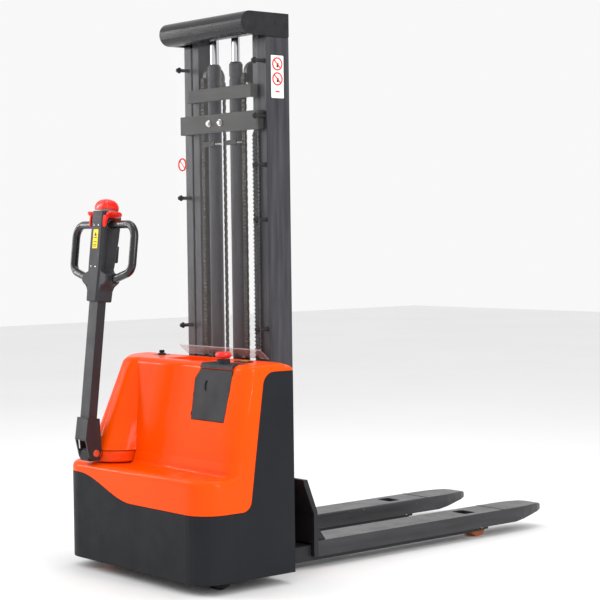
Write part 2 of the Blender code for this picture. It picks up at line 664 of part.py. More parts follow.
# ---------------------------------------------------------------- steering head and drive wheel
def make_steer_head():
    x, y = STEER_X, STEER_Y
    low, high = TURNTABLE_Z
    disc = turned([(0.0462, 0.2405), (0.0570, 0.2405), (0.0570, low - 0.0035), (0.0600, low),
                   (TURNTABLE_R - 0.003, low), (TURNTABLE_R, low + 0.003), (TURNTABLE_R, high - 0.004),
                   (TURNTABLE_R - 0.004, high), (0.0462, high)], (x, y, 0.0), steps=36)
    turntable = add_object("turntable", disc, ORANGE, origin=(x, y, low), smooth=True)
    px, py, pz = PIVOT
    for sign in (-1, 1):                  # room for the boot's cheeks as the tiller comes down
        cheek = sorted((sign * 0.0252, sign * 0.0345))
        boolean(turntable, cylinder((px, py, pz), 0.0285, cheek[0], cheek[1], "X", 28))
    motor = turned([(0.0, 0.2410), (0.0430, 0.2410), (0.0455, 0.2450), (0.0455, high + 0.004),
                    (0.0420, high + 0.010), (0.0420, 0.4600), (0.0380, 0.4680), (0.0, 0.4680)],
                   (x, y, 0.0), steps=28)
    add_object("drive_motor", motor, STEEL, origin=(x, y, 0.241), smooth=True)
    wheel_x = x + 0.006
    gearbox = add_object("drive_gearbox", cylinder((x, y, 0.0), 0.0600, 0.2155, 0.2400, steps=32), DARK,
                         origin=(x, y, 0.2155), bevel=0.0015)
    side = rounded([(y - 0.040, 0.220), (y - 0.040, 0.075), (y, 0.045), (y + 0.040, 0.075), (y + 0.040, 0.220)],
                   [0.0, 0.02, 0.03, 0.02, 0.0], 4, closed=True)
    boolean(gearbox, prism(side, "X", wheel_x - 0.074, wheel_x - DRIVE_W / 2 - 0.004), "UNION")
    boolean(gearbox, box((wheel_x - 0.074, x), (y - 0.040, y + 0.040), (0.2145, 0.2300)), "UNION")
    boolean(gearbox, cylinder((0.0, y, DRIVE_R), 0.0120, wheel_x - 0.045, wheel_x + 0.030, "X", 20), "UNION")
    half = DRIVE_W / 2
    r = DRIVE_R
    wheel = turned([(0.0124, -half + 0.004), (0.0400, -half + 0.004), (0.0450, -half + 0.010),
                    (0.0780, -half + 0.010), (0.0820, -half), (r - 0.004, -half), (r, -half + 0.005),
                    (r, half - 0.005), (r - 0.004, half), (0.0820, half), (0.0780, half - 0.010),
                    (0.0450, half - 0.010), (0.0400, half - 0.004), (0.0124, half - 0.004)],
                   (wheel_x, y, r), "X", 32)
    add_object("drive_wheel", wheel, RUBBER, origin=(wheel_x, y, r), smooth=True)
    make_clevis()
    return turntable


def make_clevis():
    """Lug bolted to the back of the turntable, between the cheeks of the tiller boot."""
    px, py, pz = PIVOT
    outline = rounded([(py - 0.026, pz - 0.026), (STEER_Y - 0.086, pz - 0.026), (STEER_Y - 0.086, pz + 0.004),
                       (py + 0.014, pz + 0.018), (py - 0.018, pz + 0.018), (py - 0.026, pz + 0.006)],
                      [0.006, 0.0, 0.0, 0.008, 0.006, 0.006], 3, closed=True)
    lug = add_object("tiller_clevis", prism(outline, "X", px - 0.0245, px + 0.0245), DARK)
    boolean(lug, cylinder((STEER_X, STEER_Y, 0.0), TURNTABLE_R + GAP, 0.30, 0.50, steps=48))
    boolean(lug, cylinder((px, py, pz), 0.0083, -0.05, 0.05, "X", 20))


# ---------------------------------------------------------------- tiller
def tiller_frame():
    """Empty at the hinge, leaned to the rest angle: tiller pieces are laid out upright."""
    pivot = bpy.data.objects.new("tiller_hinge", None)
    bpy.context.scene.collection.objects.link(pivot)
    pivot.location = PIVOT
    pivot.rotation_euler = (-TILLER_LEAN, 0.0, 0.0)
    return pivot


def head_section(height, half_w, rear_y, front_y, corner):
    outline = rounded([(-half_w, rear_y), (half_w, rear_y), (half_w, front_y), (-half_w, front_y)],
                      [corner] * 4, 3, closed=True)
    return [(x, y, height) for x, y in outline]


def make_tiller():
    pivot = tiller_frame()
    a = ARM_Y
    arm = box((-0.0270, 0.0270), (a - 0.0165, a + 0.0165), (0.0400, 0.5600))
    tube_body = add_object("tiller_arm", arm, DARK, parent=pivot, bevel=0.0022)
    boolean(tube_body, box((-0.0238, 0.0238), (a - 0.0133, a + 0.0133), (0.0300, 0.5700)))

    outline = rounded([(a - 0.024, 0.116), (a - 0.026, 0.044), (-0.022, -0.022), (0.014, -0.026),
                       (0.021, 0.010), (a + 0.023, 0.116)],
                      [0.0, 0.012, 0.014, 0.014, 0.010, 0.0], 4, closed=True)
    boot = add_object("tiller_boot", prism(outline, "X", -0.0330, 0.0330), DARK, parent=pivot)
    boolean(boot, box((-0.0262, 0.0262), (-0.080, 0.080), (-0.050, 0.0390)))
    boolean(boot, box((-0.0273, 0.0273), (a - 0.0168, a + 0.0168), (0.0380, 0.1300)))
    boolean(boot, cylinder((0.0, 0.0, 0.0), 0.0083, -0.05, 0.05, "X", 20))

    bolt = turned([(0.0, -0.0375), (0.0105, -0.0375), (0.0120, -0.0360), (0.0120, -0.0333), (0.0079, -0.0333),
                   (0.0079, 0.0333), (0.0120, 0.0333), (0.0120, 0.0360), (0.0105, 0.0375), (0.0, 0.0375)],
                  (0.0, 0.0, 0.0), "X", 20)
    add_object("tiller_pivot_bolt", bolt, BRASS, parent=pivot, smooth=True)

    sections = [head_section(0.5060, 0.0345, a - 0.0235, a + 0.0235, 0.006),
                head_section(0.5430, 0.0370, a - 0.0240, a + 0.0270, 0.007),
                head_section(0.5620, 0.0500, a - 0.0245, a + 0.0320, 0.010),
                head_section(0.5780, 0.0720, a - 0.0250, a + 0.0350, 0.010),
                head_section(0.5900, 0.0740, a - 0.0255, a + 0.0370, 0.010),
                head_section(0.6030, 0.0560, a - 0.0260, a + 0.0390, 0.010),
                head_section(0.6090, 0.0400, a - 0.0262, a + 0.0400, 0.010),
                head_section(0.6300, 0.0370, a - 0.0268, a + 0.0430, 0.010),
                head_section(0.7200, 0.0365, a - 0.0285, a + 0.0520, 0.010),
                head_section(0.7900, 0.0360, a - 0.0290, a + 0.0540, 0.010),
                head_section(0.8120, 0.0345, a - 0.0285, a + 0.0500, 0.010)]
    head = add_object("tiller_head", loft(sections), HEAD, parent=pivot, smooth=True)
    boolean(head, box((-0.0274, 0.0274), (a - 0.0169, a + 0.0169), (0.4900, 0.5605)))
    socket_r = HANDLE_R + 0.0005
    for sign in (-1, 1):
        socket = sorted((sign * 0.0300, sign * 0.0800))
        boolean(head, cylinder((0.0, HANDLE_Y, HANDLE_TOP_Z), socket_r, socket[0], socket[1], "X", 20))
        lower = cylinder((-0.0016, 0.0, 0.0), socket_r, 0.0, 0.060, "X", 20)
        turn = Matrix.Translation((HANDLE_FOOT[0], HANDLE_Y, HANDLE_FOOT[1])) @ Matrix.Rotation(-HANDLE_TILT, 4, "Y")
        bmesh.ops.transform(lower, matrix=turn, verts=lower.verts)
        if sign < 0:
            bmesh.ops.scale(lower, vec=(-1.0, 1.0, 1.0), verts=lower.verts)
            bmesh.ops.reverse_faces(lower, faces=lower.faces)
        boolean(head, lower)
    boolean(head, cylinder((0.0, THROTTLE_Y, THROTTLE_Z), 0.0060, -0.06, 0.06, "X", 16))
    boolean(head, box((-0.018, 0.018), (a + 0.034, a + 0.080), (0.6395, 0.7005)))
    for name, sign in SIDES:
        make_handle(name, sign, pivot)
    make_thumb_controls(pivot)
    return pivot


def make_handle(name, sign, pivot):
    """D-shaped loop: a round bar from the head's side, out, down and back to the collar."""
    foot_x, foot_z = HANDLE_FOOT
    low_z = foot_z + (HANDLE_OUT_X - foot_x) * math.tan(HANDLE_TILT)
    outline = [(0.0310, HANDLE_TOP_Z), (HANDLE_OUT_X, HANDLE_TOP_Z), (HANDLE_OUT_X, low_z), HANDLE_FOOT]
    path = rounded(outline, [0.0, 0.045, 0.036, 0.0], 7)
    curve = bpy.data.curves.new("handle_" + name, "CURVE")
    curve.dimensions = "3D"
    curve.bevel_depth = HANDLE_R
    curve.bevel_resolution = 3
    curve.use_fill_caps = True
    spline = curve.splines.new("POLY")
    spline.points.add(len(path) - 1)
    for point, (x, z) in zip(spline.points, path):
        point.co = (sign * x, HANDLE_Y, z, 1.0)
    handle = bpy.data.objects.new("handle_" + name, curve)
    bpy.context.scene.collection.objects.link(handle)
    handle.parent = pivot
    curve.materials.append(BLACK)


def make_thumb_controls(pivot):
    """Belly switch cap on top, butterfly throttle through the head, and the lift rocker."""
    a = ARM_Y
    cap = [head_section(0.8148, 0.0340, a - 0.0250, a + 0.0390, 0.014),
           head_section(0.8220, 0.0355, a - 0.0275, a + 0.0415, 0.016),
           head_section(0.8340, 0.0335, a - 0.0255, a + 0.0395, 0.016),
           head_section(0.8460, 0.0255, a - 0.0180, a + 0.0320, 0.014),
           head_section(0.8540, 0.0120, a - 0.0050, a + 0.0190, 0.008)]
    add_object("belly_switch", loft(cap), RED, origin=(0.0, 0.0, 0.8148), parent=pivot, smooth=True)

    centre = (0.0, THROTTLE_Y, THROTTLE_Z)
    throttle = add_object("thumb_throttle", cylinder(centre, 0.0055, -0.0395, 0.0395, "X", 16), RED,
                          origin=centre, parent=pivot)
    blade = rounded([(a - 0.020, THROTTLE_Z - 0.009), (a + 0.030, THROTTLE_Z - 0.009),
                     (a + 0.034, THROTTLE_Z + 0.012), (a - 0.026, THROTTLE_Z + 0.014)],
                    [0.005, 0.007, 0.006, 0.004], 3, closed=True)
    hook = [(a - 0.0300, 0.757), (a - 0.0200, 0.757), (a - 0.0185, THROTTLE_Z), (a - 0.0280, THROTTLE_Z)]
    for sign in (-1, 1):
        near, tip, hook_tip = sign * 0.0372, sign * 0.0640, sign * 0.0470
        boolean(throttle, prism(blade, "X", min(near, tip), max(near, tip)), "UNION")
        boolean(throttle, prism(hook, "X", min(near, hook_tip), max(near, hook_tip)), "UNION")

    rocker = add_object("lift_rocker", box((-0.0165, 0.0165), (a + 0.0385, a + 0.0600), (0.6415, 0.6985)), BLACK,
                        origin=(0.0, a + 0.050, 0.670), parent=pivot, bevel=0.003)
    return rocker


# ---------------------------------------------------------------- mast
def channel_outline(sign, outer_x, web, flange, rear, front, thickness):
    x0 = sign * outer_x
    x1 = sign * (outer_x - web)
    x2 = sign * (outer_x - flange)
    return [(x0, rear), (x2, rear), (x2, rear + thickness), (x1, rear + thickness),
            (x1, front - thickness), (x2, front - thickness), (x2, front), (x0, front)]


def make_outer_mast():
    for name, sign in SIDES:
        outline = channel_outline(sign, MAST_HALF_W, WEB_T, FLANGE_W, MAST_REAR_Y, MAST_FRONT_Y, 0.010)
        add_object("outer_mast_" + name, prism(outline, "Z", MAST_BOTTOM_Z, MAST_TOP_Z), MAST, bevel=0.002)
        barrel = turned([(0.0, 0.110), (CYL_R, 0.110), (CYL_R, 1.640), (CYL_R - 0.002, 1.643),
                         (CYL_R - 0.002, 1.649), (CYL_R, 1.652), (CYL_R, 1.692), (CYL_R - 0.003, 1.695), (ROD_R + 0.0005, 1.695),
                         (ROD_R + 0.0005, 0.140), (0.0, 0.140)], (sign * CYL_X, CYL_Y, 0.0), steps=28)
        add_object("lift_cylinder_" + name, barrel, MAST, smooth=True)
        rod = cylinder((sign * CYL_X, CYL_Y, 0.0), ROD_R, 0.1405, HEAD_Z[1] - 0.0053, steps=20)
        add_object("lift_rod_" + name, rod, STEEL, smooth=True)
        fixed = sorted((sign * (PULLEY_X + 0.0003), sign * (PULLEY_X + 0.0083)))
        add_object("chain_fixed_" + name, box(fixed, CHAIN_Y, (0.260, PULLEY_Z)), CHAIN)


def make_ties():
    """Cross ties: one on the outer mast, one on the inner mast, both turned in at the ends."""
    rear = 0.0145
    outline = [(-0.2110, rear), (0.2110, rear), (0.2110, MAST_REAR_Y - GAP), (0.2040, MAST_REAR_Y - GAP),
               (0.2040, rear + 0.006), (-0.2040, rear + 0.006), (-0.2040, MAST_REAR_Y - GAP),
               (-0.2110, MAST_REAR_Y - GAP)]
    add_object("mast_cross_tie", prism(outline, "Z", 1.466, 1.529), TIE, bevel=0.001)
    base = box((-0.1865, 0.1865), (0.0030, 0.0220), (0.0820, 0.1500))
    tie = add_object("mast_base_tie", base, DARK)
    for sign in (-1, 1):
        seat = box(sorted((sign * 0.0320, sign * 0.1270)), (0.0200, 0.0760), (0.0880, 0.1095))
        boolean(tie, seat, "UNION")
        anchor = box(sorted((sign * 0.1050, sign * 0.1250)), (0.0350, 0.0480), (0.1050, 0.2595))
        boolean(tie, anchor, "UNION")
    rear = 0.0205
    outline = [(-0.1740, rear), (0.1740, rear), (0.1740, INNER_REAR_Y - GAP), (0.1680, INNER_REAR_Y - GAP),
               (0.1680, rear + 0.006), (-0.1680, rear + 0.006), (-0.1680, INNER_REAR_Y - GAP),
               (-0.1740, INNER_REAR_Y - GAP)]
    add_object("inner_cross_tie", prism(outline, "Z", 1.574, 1.618), TIE, bevel=0.001)


def make_inner_mast():
    """Inner channels with their welded roller and pulley pins, and the head over them."""
    for name, sign in SIDES:
        outline = channel_outline(sign, INNER_HALF_W, 0.007, 0.033, INNER_REAR_Y, INNER_FRONT_Y, 0.008)
        channel = add_object("inner_mast_" + name, prism(outline, "Z", 0.086, HEAD_Z[1] - 0.0053), MAST)
        pulley_pin = sorted((sign * 0.1000, sign * 0.1780))
        pin = cylinder((0.0, PULLEY_Y, PULLEY_Z), 0.0100, pulley_pin[0], pulley_pin[1], "X", 20)
        boolean(channel, pin, "UNION")
        roller_pin = sorted((sign * 0.1800, sign * 0.2130))
        pin = cylinder((0.0, ROLLER_Y, MAST_ROLLER_Z), 0.0120, roller_pin[0], roller_pin[1], "X", 20)
        boolean(channel, pin, "UNION")
        make_roller("mast_roller_" + name, sign * 0.2000, MAST_ROLLER_Z, 0.0375, 0.024, 0.0124)

        x = sign * PULLEY_X
        wheel = turned([(0.0103, -0.0090), (0.0410, -0.0090), (0.0410, 0.0090), (0.0103, 0.0090)],
                       (x, PULLEY_Y, PULLEY_Z), "X", 36)
        add_object("chain_pulley_" + name, wheel, STEEL, origin=(x, PULLEY_Y, PULLEY_Z), smooth=True)
        moving = sorted((sign * (PULLEY_X - 0.0003), sign * (PULLEY_X - 0.0083)))
        add_object("chain_moving_" + name, box(moving, CHAIN_Y, (0.262, PULLEY_Z)), CHAIN)

    low, high = HEAD_Z
    r = (high - low) / 2.0
    middle = (high + low) / 2.0
    t = 0.005
    outer = [(HEAD_ROUND_Y - r * math.sin(a), middle + r * math.cos(a))
             for a in [math.pi * k / 14 for k in range(15)]]
    inner = [(HEAD_ROUND_Y - (r - t) * math.sin(a), middle + (r - t) * math.cos(a))
             for a in [math.pi * k / 14 for k in range(15)]]
    section = [(MAST_FRONT_Y, high)] + outer + [(0.004, low), (0.004, low + t)] + inner[::-1]
    section += [(MAST_FRONT_Y, high - t)]
    head = add_object("mast_head_beam", prism(section, "X", -MAST_HALF_W, MAST_HALF_W), MAST, smooth=True)
    plate = [(MAST_FRONT_Y, high)] + outer + [(MAST_FRONT_Y, low)]
    for _, sign in SIDES:
        span = sorted((sign * (MAST_HALF_W - 0.008), sign * MAST_HALF_W))
        boolean(head, prism(plate, "X", span[0], span[1]), "UNION")


def make_roller(name, x, z, radius, width, bore):
    half = width / 2.0
    wheel = turned([(bore, -half), (radius - 0.003, -half), (radius, -half + 0.003), (radius, half - 0.003),
                    (radius - 0.003, half), (bore, half)], (x, ROLLER_Y, z), "X", 28)
    return add_object(name, wheel, STEEL, origin=(x, ROLLER_Y, z), smooth=True)


# ---------------------------------------------------------------- carriage and forks
def make_carriage():
    """Bent front plate, two stems that run in the inner mast, a cross bar and roller pins."""
    front = FORK_HEEL_Y - GAP
    outline = [(front, 0.0400), (front, 0.1900), (0.1620, 0.3030), (0.1470, 0.3030), (0.1470, 0.2900),
               (front - 0.016, 0.1860), (front - 0.016, 0.0400)]
    frame = add_object("carriage_frame", prism(outline, "X", -0.2710, 0.2710), DARK)
    for _, sign in SIDES:
        stem = sorted((sign * 0.1320, sign * 0.1440))
        boolean(frame, box(stem, (0.0620, 0.1950), (0.1000, 0.4550)), "UNION")
        pin = sorted((sign * 0.1400, sign * 0.1720))
        roller_pin = cylinder((0.0, ROLLER_Y, CARRIAGE_ROLLER_Z), 0.0110, pin[0], pin[1], "X", 20)
        boolean(frame, roller_pin, "UNION")
    boolean(frame, box((-0.1380, 0.1380), (0.1500, 0.1740), (0.3900, 0.4550)), "UNION")
    for _, sign in SIDES:
        boolean(frame, box((sign * FORK_X - 0.0560, sign * FORK_X + 0.0560), (0.10, 0.30), (0.0, 0.0835)))
    for name, sign in SIDES:
        make_roller("carriage_roller_" + name, sign * 0.1610, CARRIAGE_ROLLER_Z, 0.0360, 0.0180, 0.0114)


def fork_section(y, half_w, low, high):
    c = 0.004
    return [(-half_w, y, low), (half_w, y, low), (half_w, y, high - c), (half_w - c, y, high),
            (-half_w + c, y, high), (-half_w, y, high - c)]


def make_forks():
    """Channel forks: open underneath over the legs, with a wheel window and a tapered tip."""
    w, low, high = FORK_HALF_W, FORK_BOTTOM_Z, FORK_TOP_Z
    tip = FORK_TIP_Y
    stations = [(FORK_HEEL_Y, w, low, high), (tip - 0.175, w, low, high),
                (tip - 0.130, w - 0.001, low + 0.006, high), (tip - 0.080, w - 0.008, low + 0.015, high),
                (tip - 0.035, w - 0.019, low + 0.021, high - 0.001),
                (tip - 0.010, w - 0.030, low + 0.025, high - 0.004),
                (tip, w - 0.038, low + 0.029, high - 0.008)]
    for name, sign in SIDES:
        rings = [[(x + sign * FORK_X, y, z) for x, y, z in fork_section(y, half, bottom, top)]
                 for y, half, bottom, top in stations]
        fork = add_object("fork_" + name, loft(rings), FORK, bevel=0.0012)
        x = sign * FORK_X
        pocket = box((x - 0.0630, x + 0.0630), (FORK_HEEL_Y - 0.01, tip - 0.215), (0.0, high - 0.008))
        boolean(fork, pocket)
        window = rounded([(x - 0.036, 0.945), (x + 0.036, 0.945), (x + 0.036, 1.000), (x - 0.036, 1.000)],
                         [0.008] * 4, 3, closed=True)
        boolean(fork, prism(window, "Z", 0.080, 0.12))


# ---------------------------------------------------------------- guard
def make_guard():
    outline = rounded([(-0.2240, 0.7400), (0.2240, 0.7400), (0.2240, 1.7600), (-0.2240, 1.7600)],
                      [0.012] * 4, 3, closed=True)
    add_object("guard_panel", prism(outline, "Y", GUARD_Y[0], GUARD_Y[1]), CLEAR)


def centre_on_floor():
    """Move the top-level objects so that the origin is under the middle of the bounding box."""
    bpy.context.view_layer.update()
    depsgraph = bpy.context.evaluated_depsgraph_get()
    points = []
    for obj in bpy.context.scene.objects:
        if obj.type == "EMPTY":
            continue
        mesh = obj.evaluated_get(depsgraph).to_mesh()
        points += [obj.matrix_world @ vertex.co for vertex in mesh.vertices]
        obj.evaluated_get(depsgraph).to_mesh_clear()
    middle = [0.5 * (min(p[k] for p in points) + max(p[k] for p in points)) for k in (0, 1)]
    for obj in bpy.context.scene.objects:
        if obj.parent is None:
            obj.location.x -= middle[0]
            obj.location.y -= middle[1]


def main():
    make_skirt()
    make_cover()
    make_hatch()
    make_console()
    make_key_and_gauge()
    make_frame()
    make_internals()
    make_legs()
    make_caster()
    make_steer_head()
    make_tiller()
    make_outer_mast()
    make_ties()
    make_inner_mast()
    make_carriage()
    make_forks()
    make_guard()
    centre_on_floor()


main()
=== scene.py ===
"""Looks for the walkie stacker: materials, refined shells, small fittings, studio and camera.

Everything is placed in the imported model's own frame.  `at()` turns the truck's layout
coordinates (X from the centre line, Y from the power unit's front face, Z from the floor)
into that frame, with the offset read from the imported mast.
"""
import json
import math

import bmesh
import bpy
from mathutils import Matrix, Vector


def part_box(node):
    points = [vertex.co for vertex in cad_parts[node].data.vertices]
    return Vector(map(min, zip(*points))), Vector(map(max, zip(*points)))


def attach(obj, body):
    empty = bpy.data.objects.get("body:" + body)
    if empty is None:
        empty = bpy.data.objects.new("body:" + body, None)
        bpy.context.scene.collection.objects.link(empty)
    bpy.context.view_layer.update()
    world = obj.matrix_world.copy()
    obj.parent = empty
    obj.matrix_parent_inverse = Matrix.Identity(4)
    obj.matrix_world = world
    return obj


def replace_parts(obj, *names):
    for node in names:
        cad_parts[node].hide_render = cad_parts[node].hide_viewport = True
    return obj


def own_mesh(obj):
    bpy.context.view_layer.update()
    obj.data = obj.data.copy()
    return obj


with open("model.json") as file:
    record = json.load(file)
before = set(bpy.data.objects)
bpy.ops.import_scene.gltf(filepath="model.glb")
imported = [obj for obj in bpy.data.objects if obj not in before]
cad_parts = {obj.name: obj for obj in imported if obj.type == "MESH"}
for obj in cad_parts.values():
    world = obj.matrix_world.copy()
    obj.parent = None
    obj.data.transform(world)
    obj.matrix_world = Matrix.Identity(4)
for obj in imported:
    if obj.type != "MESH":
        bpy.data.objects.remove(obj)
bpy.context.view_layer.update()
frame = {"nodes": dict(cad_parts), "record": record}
NODES = frame["nodes"]
NODE_BODY = {node: body for body, nodes in frame["record"]["behaviour"]["bodies"].items() for node in nodes}

# ---------------------------------------------------------------- layout
MAST_HALF_W, MAST_REAR_Y = 0.2265, 0.0458
ORIGIN = Vector((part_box("outer_mast_right")[1][0] - MAST_HALF_W,
                 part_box("outer_mast_right")[0][1] - MAST_REAR_Y, 0.0))

BODY_HALF_W, BODY_REAR_Y, BODY_CORNER_R = 0.398, -0.369, 0.090
STEP_Z, COVER_TOP_Z, COVER_BOTTOM_Z = 0.360, 0.710, 0.200
COVER_FRONT_Y, COVER_T = -0.002, 0.008
UPRIGHT_FOOT_Y, UPRIGHT_LEAN = -0.252, 0.062            # the upright's rear face, and how far it leans
UPRIGHT_LEFT_R, UPRIGHT_RIGHT_R = 0.190, 0.048          # its plan corners
LEDGE_Z = 0.4045                                        # where the cowl starts, over the turntable
COWL_FOOT_Y, COWL_LEAN, COWL_R, COWL_TAPER = -0.2584, 0.099, 0.099, 0.051
COWL_BLEND = 0.030                                      # how softly the cowl runs into the upright
SKIRT_LOW_Z, SKIRT_HIGH_Z, SKIRT_PANEL_Z = 0.2505, 0.326, 0.685
STEER = (-0.235, -0.250)
PIVOT = Vector((-0.235, -0.361, 0.397))
LEAN = math.radians(6.5)
ARM_Y = -0.019
HANDLE_Y, HANDLE_R, HANDLE_TOP, HANDLE_OUT = ARM_Y + 0.008, 0.0135, 0.767, 0.1755
HANDLE_FOOT, HANDLE_TILT = (0.0600, 0.5785), math.radians(15.6)
CYL_X, CYL_Y, CYL_R = 0.060, 0.050, 0.023
KEY = (-0.235, -0.062)
HATCH_HINGE_X, HATCH_GAP = 0.1435, 0.0012
THROTTLE_Y, THROTTLE_Z = ARM_Y + 0.014, 0.798
GUARD_HALF_W, GUARD_LOW_Z, GUARD_HIGH_Z = 0.2240, 0.7400, 1.7600
GUARD_REAR_Y, GUARD_FRONT_Y = 0.0060, 0.0100
FORK_X, FORK_HALF_W = 0.2007, 0.0675
CHAIN_PITCH, CHAIN_LANE, CHAIN_PLATE_T = 0.0127, 0.0020, 0.0017
CHAIN_LOW_Z, CHAIN_HIGH_Z, CHAIN_REAR_Y = 0.270, 1.655, 0.0415
CHAIN_FRONT_LOW_Z, CHAIN_FRONT_HIGH_Z, CHAIN_FRONT_Y = 0.400, 1.650, 0.1345

TILLER = Matrix.Translation(ORIGIN + PIVOT) @ Matrix.Rotation(-LEAN, 4, "X")
LAYOUT = Matrix.Translation(ORIGIN)
SIDES = (("left", -1), ("right", 1))


def at(x, y, z):
    return ORIGIN + Vector((x, y, z))


# ---------------------------------------------------------------- materials
class Nodes:
    """A material's node tree, with short calls for the nodes used here."""

    def __init__(self, name):
        self.material = bpy.data.materials.new(name)
        self.material.use_nodes = True
        self.tree = self.material.node_tree
        self.shader = self.tree.nodes["Principled BSDF"]

    def add(self, kind, **values):
        node = self.tree.nodes.new(kind)
        for key, value in values.items():
            setattr(node, key, value)
        return node

    def link(self, source, target):
        self.tree.links.new(source, target)

    def coordinates(self, scale):
        where = self.add("ShaderNodeTexCoord")
        mapping = self.add("ShaderNodeMapping")
        mapping.inputs["Scale"].default_value = scale
        self.link(where.outputs["Object"], mapping.inputs["Vector"])
        return mapping.outputs["Vector"]

    def noise(self, vector, scale, detail=4.0, roughness=0.55):
        node = self.add("ShaderNodeTexNoise")
        node.inputs["Scale"].default_value = scale
        node.inputs["Detail"].default_value = detail
        node.inputs["Roughness"].default_value = roughness
        self.link(vector, node.inputs["Vector"])
        return node.outputs["Fac"]

    def spread(self, value, low, high, start=0.3, end=0.7):
        node = self.add("ShaderNodeMapRange")
        node.inputs["From Min"].default_value = start
        node.inputs["From Max"].default_value = end
        node.inputs["To Min"].default_value = low
        node.inputs["To Max"].default_value = high
        self.link(value, node.inputs["Value"])
        return node.outputs["Result"]

    def mix(self, factor, first, second):
        """Blend a colour, or another node's output, towards a second colour."""
        node = self.add("ShaderNodeMix", data_type="RGBA")
        if isinstance(first, tuple):
            node.inputs["A"].default_value = (*first, 1.0)
        else:
            self.link(first, node.inputs["A"])
        node.inputs["B"].default_value = (*second, 1.0)
        self.link(factor, node.inputs["Factor"])
        return node.outputs["Result"]

    def bump(self, height, distance, strength):
        node = self.add("ShaderNodeBump")
        node.inputs["Distance"].default_value = distance
        node.inputs["Strength"].default_value = strength
        self.link(height, node.inputs["Height"])
        return node.outputs["Normal"]


def painted(name, colour, other, roughness, streak=(1, 1, 1), cloud=6.0, grain=900.0, relief=0.35,
            metallic=0.0, coat=0.0, coat_roughness=0.05, wear=None, shine=0.5):
    """Paint, plastic or bare metal: clouds or streaks of colour, uneven gloss, a fine grain in
    relief, and scuffed patches where `wear` names their colour."""
    n = Nodes(name)
    wide = n.noise(n.coordinates(streak), cloud, 5.0)
    fine = n.noise(n.coordinates((1, 1, 1)), grain, 2.0)
    smudge = n.noise(n.coordinates((1, 1, 1)), 14.0, 6.0, 0.65)
    surface = n.mix(n.spread(wide, 0.0, 1.0), colour, other)
    if wear is not None:
        scuff = n.spread(n.noise(n.coordinates((1, 1, 1)), 55.0, 8.0, 0.7), 0.0, 0.8, 0.64, 0.70)
        surface = n.mix(scuff, surface, wear)
    n.link(surface, n.shader.inputs["Base Color"])
    n.link(n.spread(smudge, roughness * 0.82, roughness * 1.2), n.shader.inputs["Roughness"])
    n.shader.inputs["Metallic"].default_value = metallic
    n.shader.inputs["Coat Weight"].default_value = coat
    n.shader.inputs["Coat Roughness"].default_value = coat_roughness
    n.shader.inputs["Specular IOR Level"].default_value = shine
    n.link(n.bump(fine, 0.0003, relief), n.shader.inputs["Normal"])
    return n.material


def clear_sheet(name, tint, alpha):
    """Clear acrylic: almost invisible, with faint haze and wiping marks."""
    n = Nodes(name)
    haze = n.noise(n.coordinates((1.0, 1.0, 0.15)), 20.0, 5.0, 0.6)
    n.link(n.mix(haze, tint, (0.98, 0.98, 1.0)), n.shader.inputs["Base Color"])
    n.link(n.spread(haze, 0.03, 0.12), n.shader.inputs["Roughness"])
    n.shader.inputs["Alpha"].default_value = alpha
    n.shader.inputs["Specular IOR Level"].default_value = 0.3
    n.link(n.bump(haze, 0.0004, 0.05), n.shader.inputs["Normal"])
    return n.material


ORANGE = painted("orange_gloss_shell", (1.0, 0.084, 0.0), (0.94, 0.070, 0.0), 0.34, cloud=2.5,
                 grain=150.0, relief=0.02, coat=0.20, shine=0.03)
ORANGE_METAL = painted("orange_turntable", (0.86, 0.064, 0.0), (0.74, 0.050, 0.0), 0.36,
                       streak=(1, 1, 9), cloud=30.0, relief=0.12, coat=0.15, shine=0.1)
SKIRT = painted("skirt_powder_coat", (0.013, 0.014, 0.017), (0.018, 0.019, 0.022), 0.50, cloud=3.0,
                grain=1400.0, relief=0.30, shine=0.10)
DARK = painted("dark_powder_coat", (0.010, 0.010, 0.012), (0.018, 0.018, 0.021), 0.48, cloud=8.0,
               grain=1200.0, relief=0.30, wear=(0.050, 0.048, 0.045), shine=0.3)
MAST = painted("mast_streaked_paint", (0.028, 0.028, 0.033), (0.062, 0.061, 0.069), 0.38,
               streak=(11, 11, 0.7), cloud=5.0, grain=1000.0, relief=0.22, shine=0.25)
BEAM = painted("mast_head_paint", (0.013, 0.013, 0.015), (0.024, 0.024, 0.027), 0.26,
               streak=(0.8, 6, 6), cloud=5.0, grain=1000.0, relief=0.18, shine=0.22)
TIE = painted("cross_tie_paint", (0.024, 0.023, 0.022), (0.046, 0.043, 0.041), 0.42, streak=(0.8, 6, 8),
              cloud=9.0, relief=0.28, wear=(0.18, 0.17, 0.15), shine=0.2)
FORK = painted("fork_paint", (0.011, 0.0105, 0.012), (0.030, 0.028, 0.032), 0.33, streak=(7, 0.6, 7),
               cloud=6.0, relief=0.25, wear=(0.13, 0.125, 0.13), shine=0.45)
ARM = painted("tiller_arm_paint", (0.015, 0.015, 0.018), (0.026, 0.025, 0.030), 0.42, streak=(5, 5, 0.7),
              cloud=7.0, grain=1200.0, relief=0.25, shine=0.35)
HEAD = painted("tiller_head_moulding", (0.026, 0.026, 0.031), (0.036, 0.036, 0.042), 0.48, cloud=9.0,
               grain=1900.0, relief=0.55, shine=0.3)
HATCH = painted("hatch_moulding", (0.011, 0.011, 0.014), (0.017, 0.017, 0.020), 0.50, cloud=9.0,
                grain=1700.0, relief=0.55, shine=0.3)
GRIP = painted("handle_gloss_black", (0.006, 0.005, 0.005), (0.012, 0.010, 0.010), 0.26, cloud=12.0,
               grain=500.0, relief=0.08, coat=0.3, coat_roughness=0.12, shine=0.4)
BLACK = painted("black_plastic", (0.008, 0.008, 0.009), (0.016, 0.016, 0.018), 0.38, cloud=20.0,
                relief=0.35, shine=0.3)
